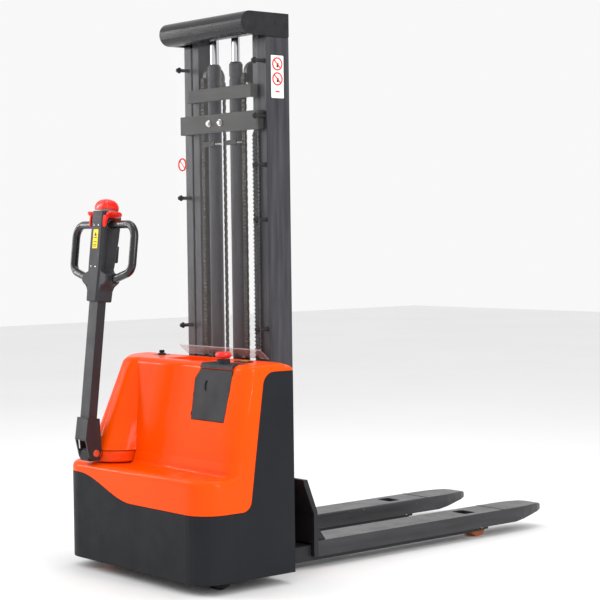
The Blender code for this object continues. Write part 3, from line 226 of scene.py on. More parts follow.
RED = painted("red_plastic", (0.86, 0.020, 0.009), (0.74, 0.013, 0.006), 0.32, cloud=12.0, grain=500.0,
              relief=0.06, coat=0.3, shine=0.3)
STEEL = painted("bare_steel", (0.40, 0.40, 0.41), (0.52, 0.51, 0.50), 0.30, streak=(1, 1, 14), cloud=30.0,
                relief=0.20, metallic=1.0)
WHEEL = painted("dark_cast_wheel", (0.050, 0.047, 0.043), (0.110, 0.104, 0.096), 0.40, cloud=40.0,
                relief=0.4, metallic=0.7)
CHROME = painted("chromed_rod", (0.55, 0.55, 0.57), (0.64, 0.64, 0.66), 0.12, streak=(8, 8, 1), cloud=12.0,
                 relief=0.05, metallic=1.0)
ZINC = painted("zinc_fasteners", (0.55, 0.55, 0.53), (0.68, 0.66, 0.60), 0.28, cloud=60.0, relief=0.25,
               metallic=1.0)
CHAIN = painted("oiled_chain_steel", (0.030, 0.026, 0.022), (0.110, 0.095, 0.080), 0.33, cloud=90.0,
                relief=0.35, metallic=0.85)
COPPER = painted("coppered_bolt", (0.72, 0.26, 0.13), (0.56, 0.18, 0.09), 0.30, cloud=60.0, relief=0.2,
                 metallic=0.9)
TYRE = painted("polyurethane_tread", (0.42, 0.110, 0.022), (0.32, 0.078, 0.014), 0.42, cloud=30.0,
               grain=600.0, relief=0.35, shine=0.3)
RUBBER = painted("black_tyre", (0.010, 0.010, 0.010), (0.022, 0.021, 0.020), 0.62, cloud=40.0, grain=500.0,
                 relief=0.7, shine=0.2)
CASE = painted("battery_case", (0.014, 0.014, 0.016), (0.024, 0.024, 0.027), 0.60, cloud=14.0, relief=0.6)
WHITE = painted("label_white", (0.86, 0.86, 0.85), (0.78, 0.78, 0.77), 0.35, cloud=40.0, relief=0.06)
YELLOW = painted("label_yellow", (0.98, 0.76, 0.004), (0.90, 0.66, 0.003), 0.36, cloud=40.0, relief=0.06,
                 shine=0.2)
LABEL_RED = painted("label_red", (0.82, 0.030, 0.012), (0.72, 0.022, 0.010), 0.36, cloud=40.0, relief=0.06,
                    shine=0.2)
CLEAR = clear_sheet("clear_guard", (0.90, 0.92, 0.94), 0.022)
# The guard's fold and lip edge are strips of pale, half-opaque colour: a painted highlight standing for the
# bright edge of the acrylic.
GUARD_EDGE_HIGHLIGHT = clear_sheet("clear_guard_edge_painted_highlight", (0.70, 0.73, 0.76), 0.30)
# The lip's reddish tint is a painted reflection of the orange cover below it.
GUARD_LIP_REFLECTION = clear_sheet("clear_guard_lip_painted_reflection", (0.30, 0.06, 0.02), 0.28)


def repaint():
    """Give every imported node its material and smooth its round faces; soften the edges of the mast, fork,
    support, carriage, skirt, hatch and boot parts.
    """
    finish = {"chassis_skirt": SKIRT, "service_hatch": HATCH, "console_panel": HATCH,
              "turntable": ORANGE_METAL, "estop_button": RED, "battery_gauge": BLACK,
              "battery_pack": CASE, "mast_head_beam": BEAM,
              "mast_cross_tie": TIE, "inner_cross_tie": TIE, "tiller_arm": ARM, "tiller_boot": ARM,
              "tiller_pivot_bolt": COPPER, "lift_rocker": BLACK, "caster_wheel": RUBBER,
              "drive_motor": STEEL, "hydraulic_power_pack": STEEL, "motor_controller": STEEL}
    families = (("key", BLACK), ("ignition", ZINC), ("outer_mast", MAST), ("inner_mast", MAST),
                ("lift_cylinder", MAST), ("lift_rod", CHROME), ("chain_pulley", WHEEL), ("load_axle", ZINC),
                ("load_wheel", TYRE), ("drive_wheel", TYRE), ("mast_roller", STEEL),
                ("carriage_roller", STEEL), ("fork_", FORK), ("caster_fork", ZINC), ("handle", GRIP))
    for name, obj in NODES.items():
        material = finish.get(name)
        if material is None:
            material = next((m for start, m in families if name.startswith(start)), DARK)
        obj.data.materials.clear()
        obj.data.materials.append(material)
        obj.data.shade_smooth()
        obj.data.set_sharp_from_angle(angle=math.radians(32.0))
        if name.startswith(("outer_mast", "inner_mast", "mast_", "fork_", "support", "carriage_frame",
                            "tiller_boot", "chassis_skirt", "service", "inner_cross")):
            soften(obj, 0.0012)


def soften(obj, width, segments=2):
    bevel = obj.modifiers.new("soft_edge", "BEVEL")
    bevel.width = width
    bevel.segments = segments
    bevel.limit_method = "ANGLE"
    bevel.angle_limit = math.radians(40.0)
    bevel.harden_normals = True


# ---------------------------------------------------------------- mesh helpers
def link_mesh(name, bm):
    """A scene object that takes its mesh from a bmesh."""
    mesh = bpy.data.meshes.new(name)
    bm.to_mesh(mesh)
    bm.free()
    obj = bpy.data.objects.new(name, mesh)
    bpy.context.scene.collection.objects.link(obj)
    return obj


def piece(name, bm, material, body, matrix=LAYOUT, smooth=True, edge=0.0, angle=35.0):
    """A finished piece, built in layout or tiller coordinates, that rides on a body."""
    bmesh.ops.recalc_face_normals(bm, faces=bm.faces)
    bmesh.ops.transform(bm, matrix=matrix, verts=bm.verts)
    obj = link_mesh(name, bm)
    obj.data.materials.append(material)
    if edge > 0.0:
        soften(obj, edge)
    if smooth:
        obj.data.shade_smooth()
        obj.data.set_sharp_from_angle(angle=math.radians(angle))
    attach(obj, body)
    return obj


def skin(rings):
    """A solid from closed rings of equal length, with a face at each end."""
    bm = bmesh.new()
    made = [[bm.verts.new(p) for p in ring] for ring in rings]
    count = len(made[0])
    for first, second in zip(made[:-1], made[1:]):
        for k in range(count):
            j = (k + 1) % count
            bm.faces.new((first[k], first[j], second[j], second[k]))
    bm.faces.new(made[0])
    bm.faces.new(made[-1])
    return bm


def block(x, y, z):
    """A box between (low, high) limits on each axis."""
    return skin([[(x[0], y[0], h), (x[1], y[0], h), (x[1], y[1], h), (x[0], y[1], h)] for h in z])


def prism(outline, axis, low, high):
    """Extrude an outline of (y, z) along X, (x, z) along Y or (x, y) along Z."""
    def place(a, b, c):
        return {"X": (c, a, b), "Y": (a, c, b), "Z": (a, b, c)}[axis]
    return skin([[place(a, b, level) for a, b in outline] for level in (low, high)])


def lathe(profile, centre, axis="Z", steps=32):
    """Spin an open profile of (radius, height), whose ends are capped, about an axis."""
    rings = []
    for radius, height in profile:
        ring = []
        for c, s in circle(radius, steps)[:-1]:
            local = {"Z": (c, s, height), "X": (height, c, s), "Y": (s, height, c)}[axis]
            ring.append(Vector(local) + Vector(centre))
        rings.append(ring)
    return skin(rings)


def rounded(points, radii, steps=6, closed=False):
    """Replace the corners of a polyline by arcs."""
    result = []
    count = len(points)
    for i, point in enumerate(points):
        if radii[i] <= 0.0 or (not closed and i in (0, count - 1)):
            result.append(tuple(point))
            continue
        here = Vector(point)
        before = (Vector(points[i - 1]) - here).normalized()
        after = (Vector(points[(i + 1) % count]) - here).normalized()
        half = before.angle(after) / 2.0
        centre = here + (before + after).normalized() * (radii[i] / math.sin(half))
        start = here + before * (radii[i] / math.tan(half)) - centre
        finish = here + after * (radii[i] / math.tan(half)) - centre
        sweep = start.angle_signed(finish)
        for k in range(steps + 1):
            arm = start.copy()
            arm.rotate(Matrix.Rotation(-sweep * k / steps, 2))
            result.append(tuple(centre + arm))
    return result


def merge(parts):
    """Several separate solids as one mesh."""
    whole = bmesh.new()
    for part in parts:
        made = {v: whole.verts.new(v.co) for v in part.verts}
        for face in part.faces:
            whole.faces.new([made[v] for v in face.verts])
        part.free()
    return whole


def circle(radius, steps):
    """Points of a circle, with the first one repeated at the end."""
    turns = [2.0 * math.pi * k / steps for k in range(steps + 1)]
    return [(radius * math.cos(t), radius * math.sin(t)) for t in turns]


def rod(name, points, radius, material, body, matrix=LAYOUT, resolution=4):
    """A round bar, hose or cable through points."""
    curve = bpy.data.curves.new(name, "CURVE")
    curve.dimensions = "3D"
    curve.bevel_depth = radius
    curve.bevel_resolution = resolution
    curve.use_fill_caps = True
    spline = curve.splines.new("POLY")
    spline.points.add(len(points) - 1)
    for target, source in zip(spline.points, points):
        target.co = (*(matrix @ Vector(source)), 1.0)
    spline.use_smooth = True
    obj = bpy.data.objects.new(name, curve)
    bpy.context.scene.collection.objects.link(obj)
    curve.materials.append(material)
    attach(obj, body)
    return obj


def cut(obj, bm):
    """Subtract a tool, in the object's own frame, and keep the result as its mesh."""
    bmesh.ops.recalc_face_normals(bm, faces=bm.faces)
    tool = link_mesh("tool", bm)
    modifier = obj.modifiers.new("cut", "BOOLEAN")
    modifier.operation = "DIFFERENCE"
    modifier.solver = "EXACT"
    modifier.object = tool
    bpy.context.view_layer.update()
    evaluated = obj.evaluated_get(bpy.context.evaluated_depsgraph_get())
    result = bpy.data.meshes.new_from_object(evaluated)
    obj.modifiers.remove(modifier)
    obj.data = result
    bpy.data.objects.remove(tool, do_unlink=True)


def hexagon(centre, size, thickness, axis="Y"):
    """A bolt head: a hexagon with a chamfered crown."""
    r = size / math.sqrt(3.0)
    rings = []
    for scale, level in ((1.0, 0.0), (1.0, 0.75), (0.88, 1.0)):
        ring = []
        for a, b in circle(r * scale, 6)[:-1]:
            local = {"Y": (a, level * thickness, b), "X": (level * thickness, a, b)}[axis]
            ring.append(Vector(local) + Vector(centre))
        rings.append(ring)
    return skin(rings)


def smoothstep(t):
    t = min(1.0, max(0.0, t))
    return t * t * (3.0 - 2.0 * t)


# ---------------------------------------------------------------- orange cover
RAY = Vector((-0.160, -0.100))        # every plan outline of the cover is star-shaped about this


def inside_plan(p, rear_y, left_r, right_r, half_w, inset):
    """Whether a point is in a rectangle that ends at the cover's front and has two round rear corners."""
    x_low, x_high = -half_w + inset, half_w - inset
    y_low, y_high = rear_y + inset, COVER_FRONT_Y - inset
    if not (x_low < p.x < x_high and y_low < p.y < y_high):
        return False
    for sign, radius in ((-1, left_r - inset), (1, right_r - inset)):
        centre = Vector((x_low + radius if sign < 0 else x_high - radius, y_low + radius))
        if (p.x - centre.x) * sign > 0.0 and p.y < centre.y and (p - centre).length > radius:
            return False
    return True


def reach(angle, test):
    """Distance from RAY to an outline, found by halving."""
    direction = Vector((math.cos(angle), math.sin(angle)))
    low, high = 0.0, 1.2
    for _ in range(24):
        middle = 0.5 * (low + high)
        if test(RAY + direction * middle):
            low = middle
        else:
            high = middle
    return low


def platform_reach(angle, inset=0.0):
    return reach(angle, lambda p: inside_plan(p, BODY_REAR_Y, BODY_CORNER_R, BODY_CORNER_R,
                                              BODY_HALF_W, inset))


def upright_reach(angle, height, inset=0.0, cowl=True):
    """Outline of the upright cover: a leaning box blended with the cowl over the turntable."""
    t = (height - STEP_Z) / (COVER_TOP_Z - STEP_Z)
    rear_y = UPRIGHT_FOOT_Y + UPRIGHT_LEAN * t
    distance = reach(angle, lambda p: inside_plan(p, rear_y, UPRIGHT_LEFT_R, UPRIGHT_RIGHT_R,
                                                  BODY_HALF_W - 0.0005, inset))
    if not cowl:
        return distance
    offset = RAY - Vector((STEER[0], COWL_FOOT_Y + COWL_LEAN * t))
    radius = COWL_R - COWL_TAPER * t - inset
    along = offset.dot(Vector((math.cos(angle), math.sin(angle))))
    square = along * along - offset.length_squared + radius * radius
    if square <= 0.0:
        return distance
    bulge = -along + math.sqrt(square)
    h = min(1.0, max(0.0, 0.5 + 0.5 * (bulge - distance) / COWL_BLEND))
    return distance + (bulge - distance) * h + COWL_BLEND * h * (1.0 - h)


def cover_angles():
    """Ray directions through closely spaced points of the platform's outline."""
    side, rear, r = BODY_HALF_W, BODY_REAR_Y, BODY_CORNER_R
    length = COVER_FRONT_Y - (rear + r)
    points = [(side, COVER_FRONT_Y - length * (1.0 - (1.0 - k / 18) ** 2)) for k in range(18)]
    for k in range(16):
        turn = 0.5 * math.pi * k / 16
        points.append((side - r + r * math.cos(turn), rear + r - r * math.sin(turn)))
    points += [(side - r - (side - r + 0.050) * k / 14, rear) for k in range(14)]
    points += [(-0.050 - (side - r - 0.050) * k / 52, rear) for k in range(52)]
    for k in range(14):
        turn = 0.5 * math.pi * k / 14
        points.append((-side + r - r * math.sin(turn), rear + r - r * math.cos(turn)))
    points += [(-side, rear + r + length * k / 24) for k in range(24)]
    points += [(-side + 2.0 * side * k / 8, COVER_FRONT_Y) for k in range(8)]
    return [math.atan2(y - RAY.y, x - RAY.x) for x, y in points]


def skirt_path():
    """Plan position, top height and outward direction along the skirt, right to left."""
    side, corner_y = BODY_HALF_W, BODY_REAR_Y + BODY_CORNER_R
    right = rounded([(-0.0005, SKIRT_PANEL_Z), (-0.118, SKIRT_PANEL_Z), (-0.181, SKIRT_LOW_Z),
                     (corner_y, SKIRT_LOW_Z)], [0.0, 0.045, 0.035, 0.0], 7)
    left = rounded([(corner_y, SKIRT_HIGH_Z), (-0.100, SKIRT_HIGH_Z), (-0.040, SKIRT_PANEL_Z),
                    (-0.0005, SKIRT_PANEL_Z)], [0.0, 0.035, 0.020, 0.0], 7)
    path = [(side, y, z, (1.0, 0.0)) for y, z in right[:-1]]
    for k in range(9):
        turn = -0.5 * math.pi * k / 8
        normal = (math.cos(turn), math.sin(turn))
        path.append((side - BODY_CORNER_R * (1.0 - normal[0]), corner_y + BODY_CORNER_R * normal[1],
                     SKIRT_LOW_Z, normal))
    for k in range(14):
        rise = (SKIRT_HIGH_Z - SKIRT_LOW_Z) * smoothstep(k / 13)
        path.append((0.007 - 0.302 * k / 13, BODY_REAR_Y, SKIRT_LOW_Z + rise, (0.0, -1.0)))
    for k in range(9):
        turn = -0.5 * math.pi * (1.0 + k / 8)
        normal = (math.cos(turn), math.sin(turn))
        path.append((-side + BODY_CORNER_R * (1.0 + normal[0]), corner_y + BODY_CORNER_R * normal[1],
                     SKIRT_HIGH_Z, normal))
    path += [(-side, y, z, (-1.0, 0.0)) for y, z in left[1:]]
    return path


def skirt_cutter():
    """The band that the skirt takes out of the cover, a little larger than the skirt."""
    rings = []
    for x, y, z, normal in skirt_path():
        if y > -0.001:
            y = 0.010
        outer = (x + 0.010 * normal[0], y + 0.010 * normal[1])
        inner = (x - 0.016 * normal[0], y - 0.016 * normal[1])
        rings.append([(*outer, 0.10), (*outer, z + 0.0014), (*inner, z + 0.0014), (*inner, 0.10)])
    return skin(rings)


def upright_face():
    """A point at the foot of the upright's leaning rear face, and the direction up it."""
    return (Vector((0.0, UPRIGHT_FOOT_Y, STEP_Z)),
            Vector((0.0, UPRIGHT_LEAN, COVER_TOP_Z - STEP_Z)).normalized())


def hatch_cutter():
    """The opening in the upright's rear face, a gap larger than the hatch all round."""
    base, up = upright_face()
    across = Vector((1.0, 0.0, 0.0))
    outward = across.cross(up)
    low, high = (0.531 - STEP_Z) - HATCH_GAP, (0.6925 - STEP_Z) * 1.013 + HATCH_GAP
    outline = [(0.146 - HATCH_GAP, low), (0.318 + HATCH_GAP, low), (0.334 + HATCH_GAP, high),
               (0.168 - HATCH_GAP, high), (0.141 - HATCH_GAP, 0.302 + HATCH_GAP)]
    return skin([[base + across * x + up * s + outward * level for x, s in outline]
                 for level in (-0.020, 0.030)])


def cover_cutters():
    """Skirt seat, turntable well, hatch opening, console, tray, key and gauge recesses."""
    top = COVER_TOP_Z
    tray = rounded([(-0.090, -0.150), (0.125, -0.150), (0.125, -0.045), (-0.090, -0.045)],
                   [0.02] * 4, 8, closed=True)
    gauge = rounded([(0.228, -0.112), (0.292, -0.112), (0.292, -0.072), (0.228, -0.072)],
                    [0.006] * 4, 4, closed=True)
    well_top = LEDGE_Z - 0.0003
    well = [(0.0665, 0.300), (0.0665, 0.3612), (0.0975, 0.3612), (0.0975, well_top), (0.0500, well_top),
            (0.0500, 0.4300)]
    key_well = [(0.0142, top - 0.016), (0.0142, top - 0.006), (0.030, top - 0.006), (0.030, 0.800)]
    return merge([skirt_cutter(), lathe(well, (STEER[0], STEER[1], 0.0), "Z", 72), hatch_cutter(),
                  block((0.1645, 0.3355), (-0.300, -0.1290), (top - 0.0085, 0.80)),
                  prism(tray, "Z", top - 0.012, 0.80), lathe(key_well, (*KEY, 0.0), "Z", 40),
                  prism(gauge, "Z", top - 0.010, 0.80)])


def make_cover():
    """The orange moulding at full smoothness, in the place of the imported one."""
    angles = cover_angles()

    def ring(distances, height):
        return [(RAY.x + d * math.cos(a), RAY.y + d * math.sin(a), height)
                for a, d in zip(angles, distances)]

    base = [platform_reach(a) for a in angles]
    foot = [upright_reach(a, STEP_Z, cowl=False) for a in angles]
    size = [min(0.020, 0.4 * (b - f)) for b, f in zip(base, foot)]
    rings = [ring(base, COVER_BOTTOM_Z), ring(base, STEP_Z - 0.021)]
    for k in range(7):
        turn = 0.5 * math.pi * k / 6
        rings.append(ring([b - s * (1.0 - math.cos(turn)) for b, s in zip(base, size)],
                          STEP_Z - 0.020 * (1.0 - math.sin(turn)) + 0.00015 * k))
    for k in range(7):
        turn = 0.5 * math.pi * k / 6
        rings.append(ring([f + s * (1.0 - math.sin(turn)) for f, s in zip(foot, size)],
                          STEP_Z + 0.0012 + 0.00015 * k + 0.020 * (1.0 - math.cos(turn))))
    rings.append(ring([upright_reach(a, LEDGE_Z, cowl=False) for a in angles], LEDGE_Z))
    cowl_z = LEDGE_Z + 0.0005
    levels = [cowl_z + (0.690 - cowl_z) * k / 12 for k in range(13)]
    rings += [ring([upright_reach(a, height) for a in angles], height) for height in levels]
    crown = COVER_TOP_Z - levels[-1]
    for k in range(1, 8):
        turn = 0.5 * math.pi * k / 7
        height = levels[-1] + crown * math.sin(turn)
        inset = crown * (1.0 - math.cos(turn))
        rings.append(ring([upright_reach(a, height, inset) for a in angles], height))
    top = len(rings) - 1
    for height in [COVER_TOP_Z - 0.025] + levels[-2:0:-1] + [LEDGE_Z + 0.0105]:
        rings.append(ring([upright_reach(a, height, COVER_T) for a in angles], height))
    over = LEDGE_Z + 0.0091
    rings.append(ring([upright_reach(a, over, COVER_T, cowl=False) for a in angles], over))
    under = STEP_Z - COVER_T
    rings.append(ring([upright_reach(a, under, COVER_T + 0.002, cowl=False) for a in angles], under))
    rings.append(ring([platform_reach(a, COVER_T) for a in angles], under - 0.001))
    rings.append(ring([platform_reach(a, COVER_T) for a in angles], COVER_BOTTOM_Z))

    bm = bmesh.new()
    made = [[bm.verts.new(p) for p in one] for one in rings]
    count = len(angles)
    for index in list(range(top)) + list(range(top + 1, len(made) - 1)) + [-1]:
        for k in range(count):
            j = (k + 1) % count
            bm.faces.new((made[index][k], made[index][j], made[index + 1][j], made[index + 1][k]))
    bm.faces.new(made[top])
    bm.faces.new(made[top + 1])
    cover = piece("orange_cover", bm, ORANGE, "truck", Matrix.Identity(4), smooth=False)
    cut(cover, cover_cutters())
    cover.data.transform(LAYOUT)
    cover.data.shade_smooth()
    cover.data.set_sharp_from_angle(angle=math.radians(28.0))
    even = cover.modifiers.new("even_shading", "WEIGHTED_NORMAL")
    even.keep_sharp = True
    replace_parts(cover, "main_cover")


def section_at(x, y, height, half_x, half_y):
    """A rectangle round a centre, at one height."""
    return [(x - half_x, y - half_y, height), (x + half_x, y - half_y, height),
            (x + half_x, y + half_y, height), (x - half_x, y + half_y, height)]


def make_cover_fittings():
    """Hatch hinge pins, the key's bezel and bow, and the gauge's window and bars."""
    base, up = upright_face()
    for index, along in enumerate((0.190, 0.252)):
        middle = base + Vector((HATCH_HINGE_X, 0.0, 0.0)) + up * along
        rod(f"hatch_hinge_{index}", [middle - up * 0.006, middle + up * 0.006], 0.0016, BLACK,
            "service_hatch")
    top = COVER_TOP_Z
    bezel = lathe([(0.0290, top - 0.0057), (0.0290, top - 0.0020), (0.0270, top + 0.0004),
                   (0.0165, top + 0.0004), (0.0150, top - 0.0010)], (*KEY, 0.0), "Z", 40)
    piece("key_bezel", bezel, BLACK, "truck")
    bow = skin([section_at(KEY[0], KEY[1], h, w, d) for h, w, d in (
        (top + 0.0062, 0.0016, 0.0060), (top + 0.0085, 0.0018, 0.0100), (top + 0.0135, 0.0018, 0.0105),
        (top + 0.0160, 0.0015, 0.0080))])
    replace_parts(piece("key_bow", bow, BLACK, "ignition_key", edge=0.0004), "ignition_key")
    window = block((0.2350, 0.2850), (-0.1060, -0.0780), (top + 0.0034, top + 0.0044))
    piece("gauge_window", window, GRIP, "truck", edge=0.0004)
    for k in range(5):
        start = 0.2405 + 0.0085 * k
        bar = block((start, start + 0.0060), (-0.0960, -0.0880), (top + 0.0043, top + 0.0047))
        piece(f"gauge_bar_{k}", bar, YELLOW if k else LABEL_RED, "truck")


# ---------------------------------------------------------------- tiller
def section(height, half_w, rear_y, front_y, corner, steps=5):
    """A rectangle with round corners, at one height."""
    outline = rounded([(-half_w, rear_y), (half_w, rear_y), (half_w, front_y), (-half_w, front_y)],
                      [corner] * 4, steps, closed=True)
    return [(x, y, height) for x, y in outline]


def make_tiller_head():
    """Moulded head: a narrow core, a broad flat spine on the operator's side, and the collar."""
    a = ARM_Y
    core = skin([section(0.5600, 0.0300, a - 0.012, a + 0.0300, 0.010),
                 section(0.6300, 0.0290, a - 0.012, a + 0.0430, 0.012),
                 section(0.7200, 0.0290, a - 0.012, a + 0.0520, 0.012),
                 section(0.7900, 0.0300, a - 0.012, a + 0.0540, 0.012),
                 section(0.8120, 0.0300, a - 0.012, a + 0.0500, 0.012)])
    body = piece("head_core", core, HEAD, "tiller", TILLER)
    spine_rings = []
    for height, half_w in ((0.5080, 0.0325), (0.5700, 0.0345), (0.6400, 0.0365), (0.7400, 0.0355),
                           (0.8000, 0.0345), (0.8108, 0.0330)):
        face = half_w - 0.0065
        outline = [(-face, a - 0.0285), (face, a - 0.0285), (half_w, a - 0.0215), (half_w, a - 0.0080),
                   (face, a - 0.0020), (-face, a - 0.0020), (-half_w, a - 0.0080), (-half_w, a - 0.0215)]
        spine_rings.append([(x, y, height) for x, y in outline])
    piece("head_spine", skin(spine_rings), HEAD, "tiller", TILLER, edge=0.0018, angle=20.0)
    half = [(0.0345, 0.5060), (0.0370, 0.5420), (0.0460, 0.5570), (0.0660, 0.5680), (0.0740, 0.5760),
            (0.0720, 0.5960), (0.0560, 0.6030), (0.0400, 0.6080), (0.0300, 0.6240)]
    radii = [0.0, 0.010, 0.010, 0.006, 0.006, 0.008, 0.006, 0.008, 0.0]
    outline = [(-x, z) for x, z in half[::-1]] + half
    collar = rounded(outline, radii[::-1] + radii, 4)
    piece("head_collar", prism(collar, "Y", a - 0.0235, a + 0.0340), HEAD, "tiller", TILLER,
          edge=0.0045)
    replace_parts(body, "tiller_head")


def make_head_fittings():
    """Screws in the spine and the collar, and a ring and a socket where each handle enters."""
    a = ARM_Y
    foot_x, foot_z = HANDLE_FOOT
    for name, sign in SIDES:
        for index, height in enumerate((0.6235, 0.7625)):
            screw = lathe([(0.0030, a - 0.0283), (0.0030, a - 0.0293), (0.0022, a - 0.0303),
                           (0.0010, a - 0.0300)], (sign * 0.0130, 0.0, height), "Y", 16)
            piece(f"spine_screw_{index}_{name}", screw, ZINC, "tiller", TILLER)
        boss = lathe([(0.0040, a - 0.0225), (0.0040, a - 0.0242), (0.0020, a - 0.0246)],
                     (sign * 0.0420, 0.0, 0.5610), "Y", 16)
        piece(f"collar_screw_{name}", boss, BLACK, "tiller", TILLER)
        ring = lathe([(0.0125, 0.0290), (0.0178, 0.0290), (0.0190, 0.0310), (0.0190, 0.0340),
                      (0.0172, 0.0360), (0.0125, 0.0366)], (0.0, HANDLE_Y, HANDLE_TOP), "X", 32)
        if sign < 0:
            bmesh.ops.scale(ring, vec=(-1.0, 1.0, 1.0), verts=ring.verts)
        piece("grip_collar_" + name, ring, GRIP, "tiller", TILLER)
        along = Vector((sign * math.cos(HANDLE_TILT), 0.0, math.sin(HANDLE_TILT)))
        foot = Vector((sign * foot_x, HANDLE_Y, foot_z))
        rod("grip_socket_" + name, [foot - along * 0.010, foot + along * 0.010, foot + along * 0.0215],
            0.0180, HEAD, "tiller", TILLER, resolution=8)


def make_head_label():
    """A plain yellow label on the spine, with bars and a triangle in place of words."""
    a = ARM_Y
    plate = rounded([(-0.0145, 0.6840), (0.0145, 0.6840), (0.0145, 0.7480), (-0.0145, 0.7480)],
                    [0.002] * 4, 3, closed=True)
    piece("spine_label", prism(plate, "Y", a - 0.0291, a - 0.0283), YELLOW, "tiller", TILLER)
    marks = merge([block((-0.0095, 0.0095), (a - 0.0294, a - 0.0290), (z, z + 0.0024))
                   for z in (0.6900, 0.6960, 0.7050, 0.7190)]
                  + [prism([(-0.0070, 0.7260), (0.0070, 0.7260), (0.0, 0.7400)], "Y",
                           a - 0.0294, a - 0.0290)])
    piece("label_marks", marks, BLACK, "tiller", TILLER, smooth=False)


def make_handles():
    """Glossy loops: out from the head, down, and back to the collar."""
    foot_x, foot_z = HANDLE_FOOT
    low_z = foot_z + (HANDLE_OUT - foot_x) * math.tan(HANDLE_TILT)
    path = rounded([(0.0300, HANDLE_TOP), (HANDLE_OUT, HANDLE_TOP), (HANDLE_OUT, low_z), HANDLE_FOOT],
                   [0.0, 0.045, 0.036, 0.0], 14)
    for name, sign in SIDES:
        loop = rod("handle_loop_" + name, [(sign * x, HANDLE_Y, z) for x, z in path], HANDLE_R, GRIP,
                   "tiller", TILLER, resolution=8)
        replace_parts(loop, "handle_" + name)


def make_belly_switch():
    """The domed cap that reverses the truck, with an arched lower edge."""
    a = ARM_Y
    rings = []
    for height, half_w, rear, front, corner in ((0.8148, 0.0335, -0.0250, 0.0390, 0.016),
                                                (0.8200, 0.0352, -0.0272, 0.0412, 0.017),
                                                (0.8300, 0.0345, -0.0265, 0.0405, 0.018),
                                                (0.8400, 0.0305, -0.0225, 0.0365, 0.017),
                                                (0.8485, 0.0220, -0.0150, 0.0290, 0.014),
                                                (0.8530, 0.0090, -0.0030, 0.0170, 0.007)):
        ring = section(height, half_w, a + rear, a + front, corner, 6)
        if height < 0.825:
            ring = [(x, y, z + arch((y - a - rear) / (front - rear))) for x, y, z in ring]
        rings.append(ring)
    cap = piece("belly_switch_cap", skin(rings), RED, "belly_switch", TILLER, angle=60.0)
    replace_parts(cap, "belly_switch")


def arch(t):
    """Rise of the cap's lower edge at a share of the way from its rear to its front."""
    return 0.0050 * math.sin(math.pi * min(1.0, max(0.0, t)))


def make_thumb_paddles():
    """A cross shaft with a wing on each end, and a hook that hangs below each wing."""
    a = ARM_Y
    parts = [lathe([(0.0053, -0.0390), (0.0053, 0.0390)], (0.0, THROTTLE_Y, THROTTLE_Z), "X", 20)]
    stations = ((0.0372, 0.008, 0.7980, 0.026, 0.0110), (0.0450, 0.006, 0.7985, 0.029, 0.0120),
                (0.0550, 0.003, 0.8010, 0.031, 0.0100), (0.0620, -0.001, 0.8045, 0.027, 0.0065),
                (0.0655, -0.002, 0.8060, 0.017, 0.0035))
    hook_levels = ((0.7560, 0.0390, 0.0445, -0.0285, -0.0225), (0.7640, 0.0375, 0.0470, -0.0300, -0.0200),
                   (0.7800, 0.0372, 0.0480, -0.0305, -0.0180), (0.7960, 0.0372, 0.0500, -0.0290, -0.0100))
    for sign in (-1, 1):
        blade = []
        for x, mid_y, mid_z, long, tall in stations:
            blade.append([(sign * x, a + mid_y + long * math.copysign(abs(c) ** 0.7, c),
                           mid_z + tall * math.copysign(abs(s) ** 0.7, s))
                          for c, s in circle(1.0, 24)[:-1]])
        parts.append(skin(blade))
        parts.append(skin([[(sign * x, a + y, height) for x, y in ((near, rear), (far, rear + 0.003),
                                                                   (far, front), (near, front))]
                           for height, near, far, rear, front in hook_levels]))
    paddles = piece("thumb_paddles", merge(parts), RED, "thumb_throttle", TILLER, edge=0.0014,
                    angle=50.0)
    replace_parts(paddles, "thumb_throttle")


def make_rocker_ribs():
    ribs = merge([block((-0.0110, 0.0110), (ARM_Y + 0.0595, ARM_Y + 0.0606), (z, z + 0.0020))
                  for z in (0.650, 0.656, 0.662, 0.676, 0.682, 0.688)])
    piece("rocker_ribs", ribs, HEAD, "lift_rocker", TILLER, smooth=False)


def make_boot_fittings():
    """Return strut seen in the open back of the boot, and the seam round its top."""
    rod("return_strut", [(-0.010, -0.0430, 0.0420), (-0.010, -0.0372, 0.0130)], 0.0028, CHROME, "tiller",
        TILLER)
    seam = skin([section(z, 0.0338, ARM_Y - 0.0248, ARM_Y + 0.0238, 0.003) for z in (0.1100, 0.1162)])
    piece("boot_rim", seam, ARM, "tiller", TILLER, edge=0.0008)


# ---------------------------------------------------------------- mast
def link_plate(x, y, z):
    """One waisted side plate of a leaf chain, standing in the Y-Z plane."""
    outline = [(y + 0.0048 * c, z + 0.0046 * s + math.copysign(0.5 * CHAIN_PITCH, s + 1e-9))
               for c, s in circle(1.0, 16)[:-1]]
    return prism(outline, "X", x, x + CHAIN_PLATE_T)


def leaf_chain(sign, low_x, y, low_z, high_z):
    """A standing run of leaf chain: alternate pairs of side plates."""
    parts = []
    for k in range(int((high_z - low_z) / CHAIN_PITCH)):
        z = low_z + CHAIN_PITCH * (k + 0.5)
        for lane in (0, 2) if k % 2 else (1, 3):
            start = low_x + CHAIN_LANE * lane
            parts.append(link_plate(start if sign > 0 else -start - CHAIN_PLATE_T, y, z))
    return merge(parts)


def make_chains():
    """Leaf chains in each packed chain's lane, and the front run, which rides on the carriage."""
    for name, sign in SIDES:
        for kind, body, low_x in (("fixed", "truck", 0.1124), ("moving", "inner_mast", 0.1037)):
            links = leaf_chain(sign, low_x, CHAIN_REAR_Y, CHAIN_LOW_Z, CHAIN_HIGH_Z)
            chain = piece(f"leaf_chain_{kind}_{name}", links, CHAIN, body, angle=40.0)
            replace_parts(chain, f"chain_{kind}_{name}")
        links = leaf_chain(sign, 0.1124, CHAIN_FRONT_Y, CHAIN_FRONT_LOW_Z, CHAIN_FRONT_HIGH_Z)
        run = piece("leaf_chain_front_" + name, links, CHAIN, "carriage", angle=40.0)
        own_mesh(run)


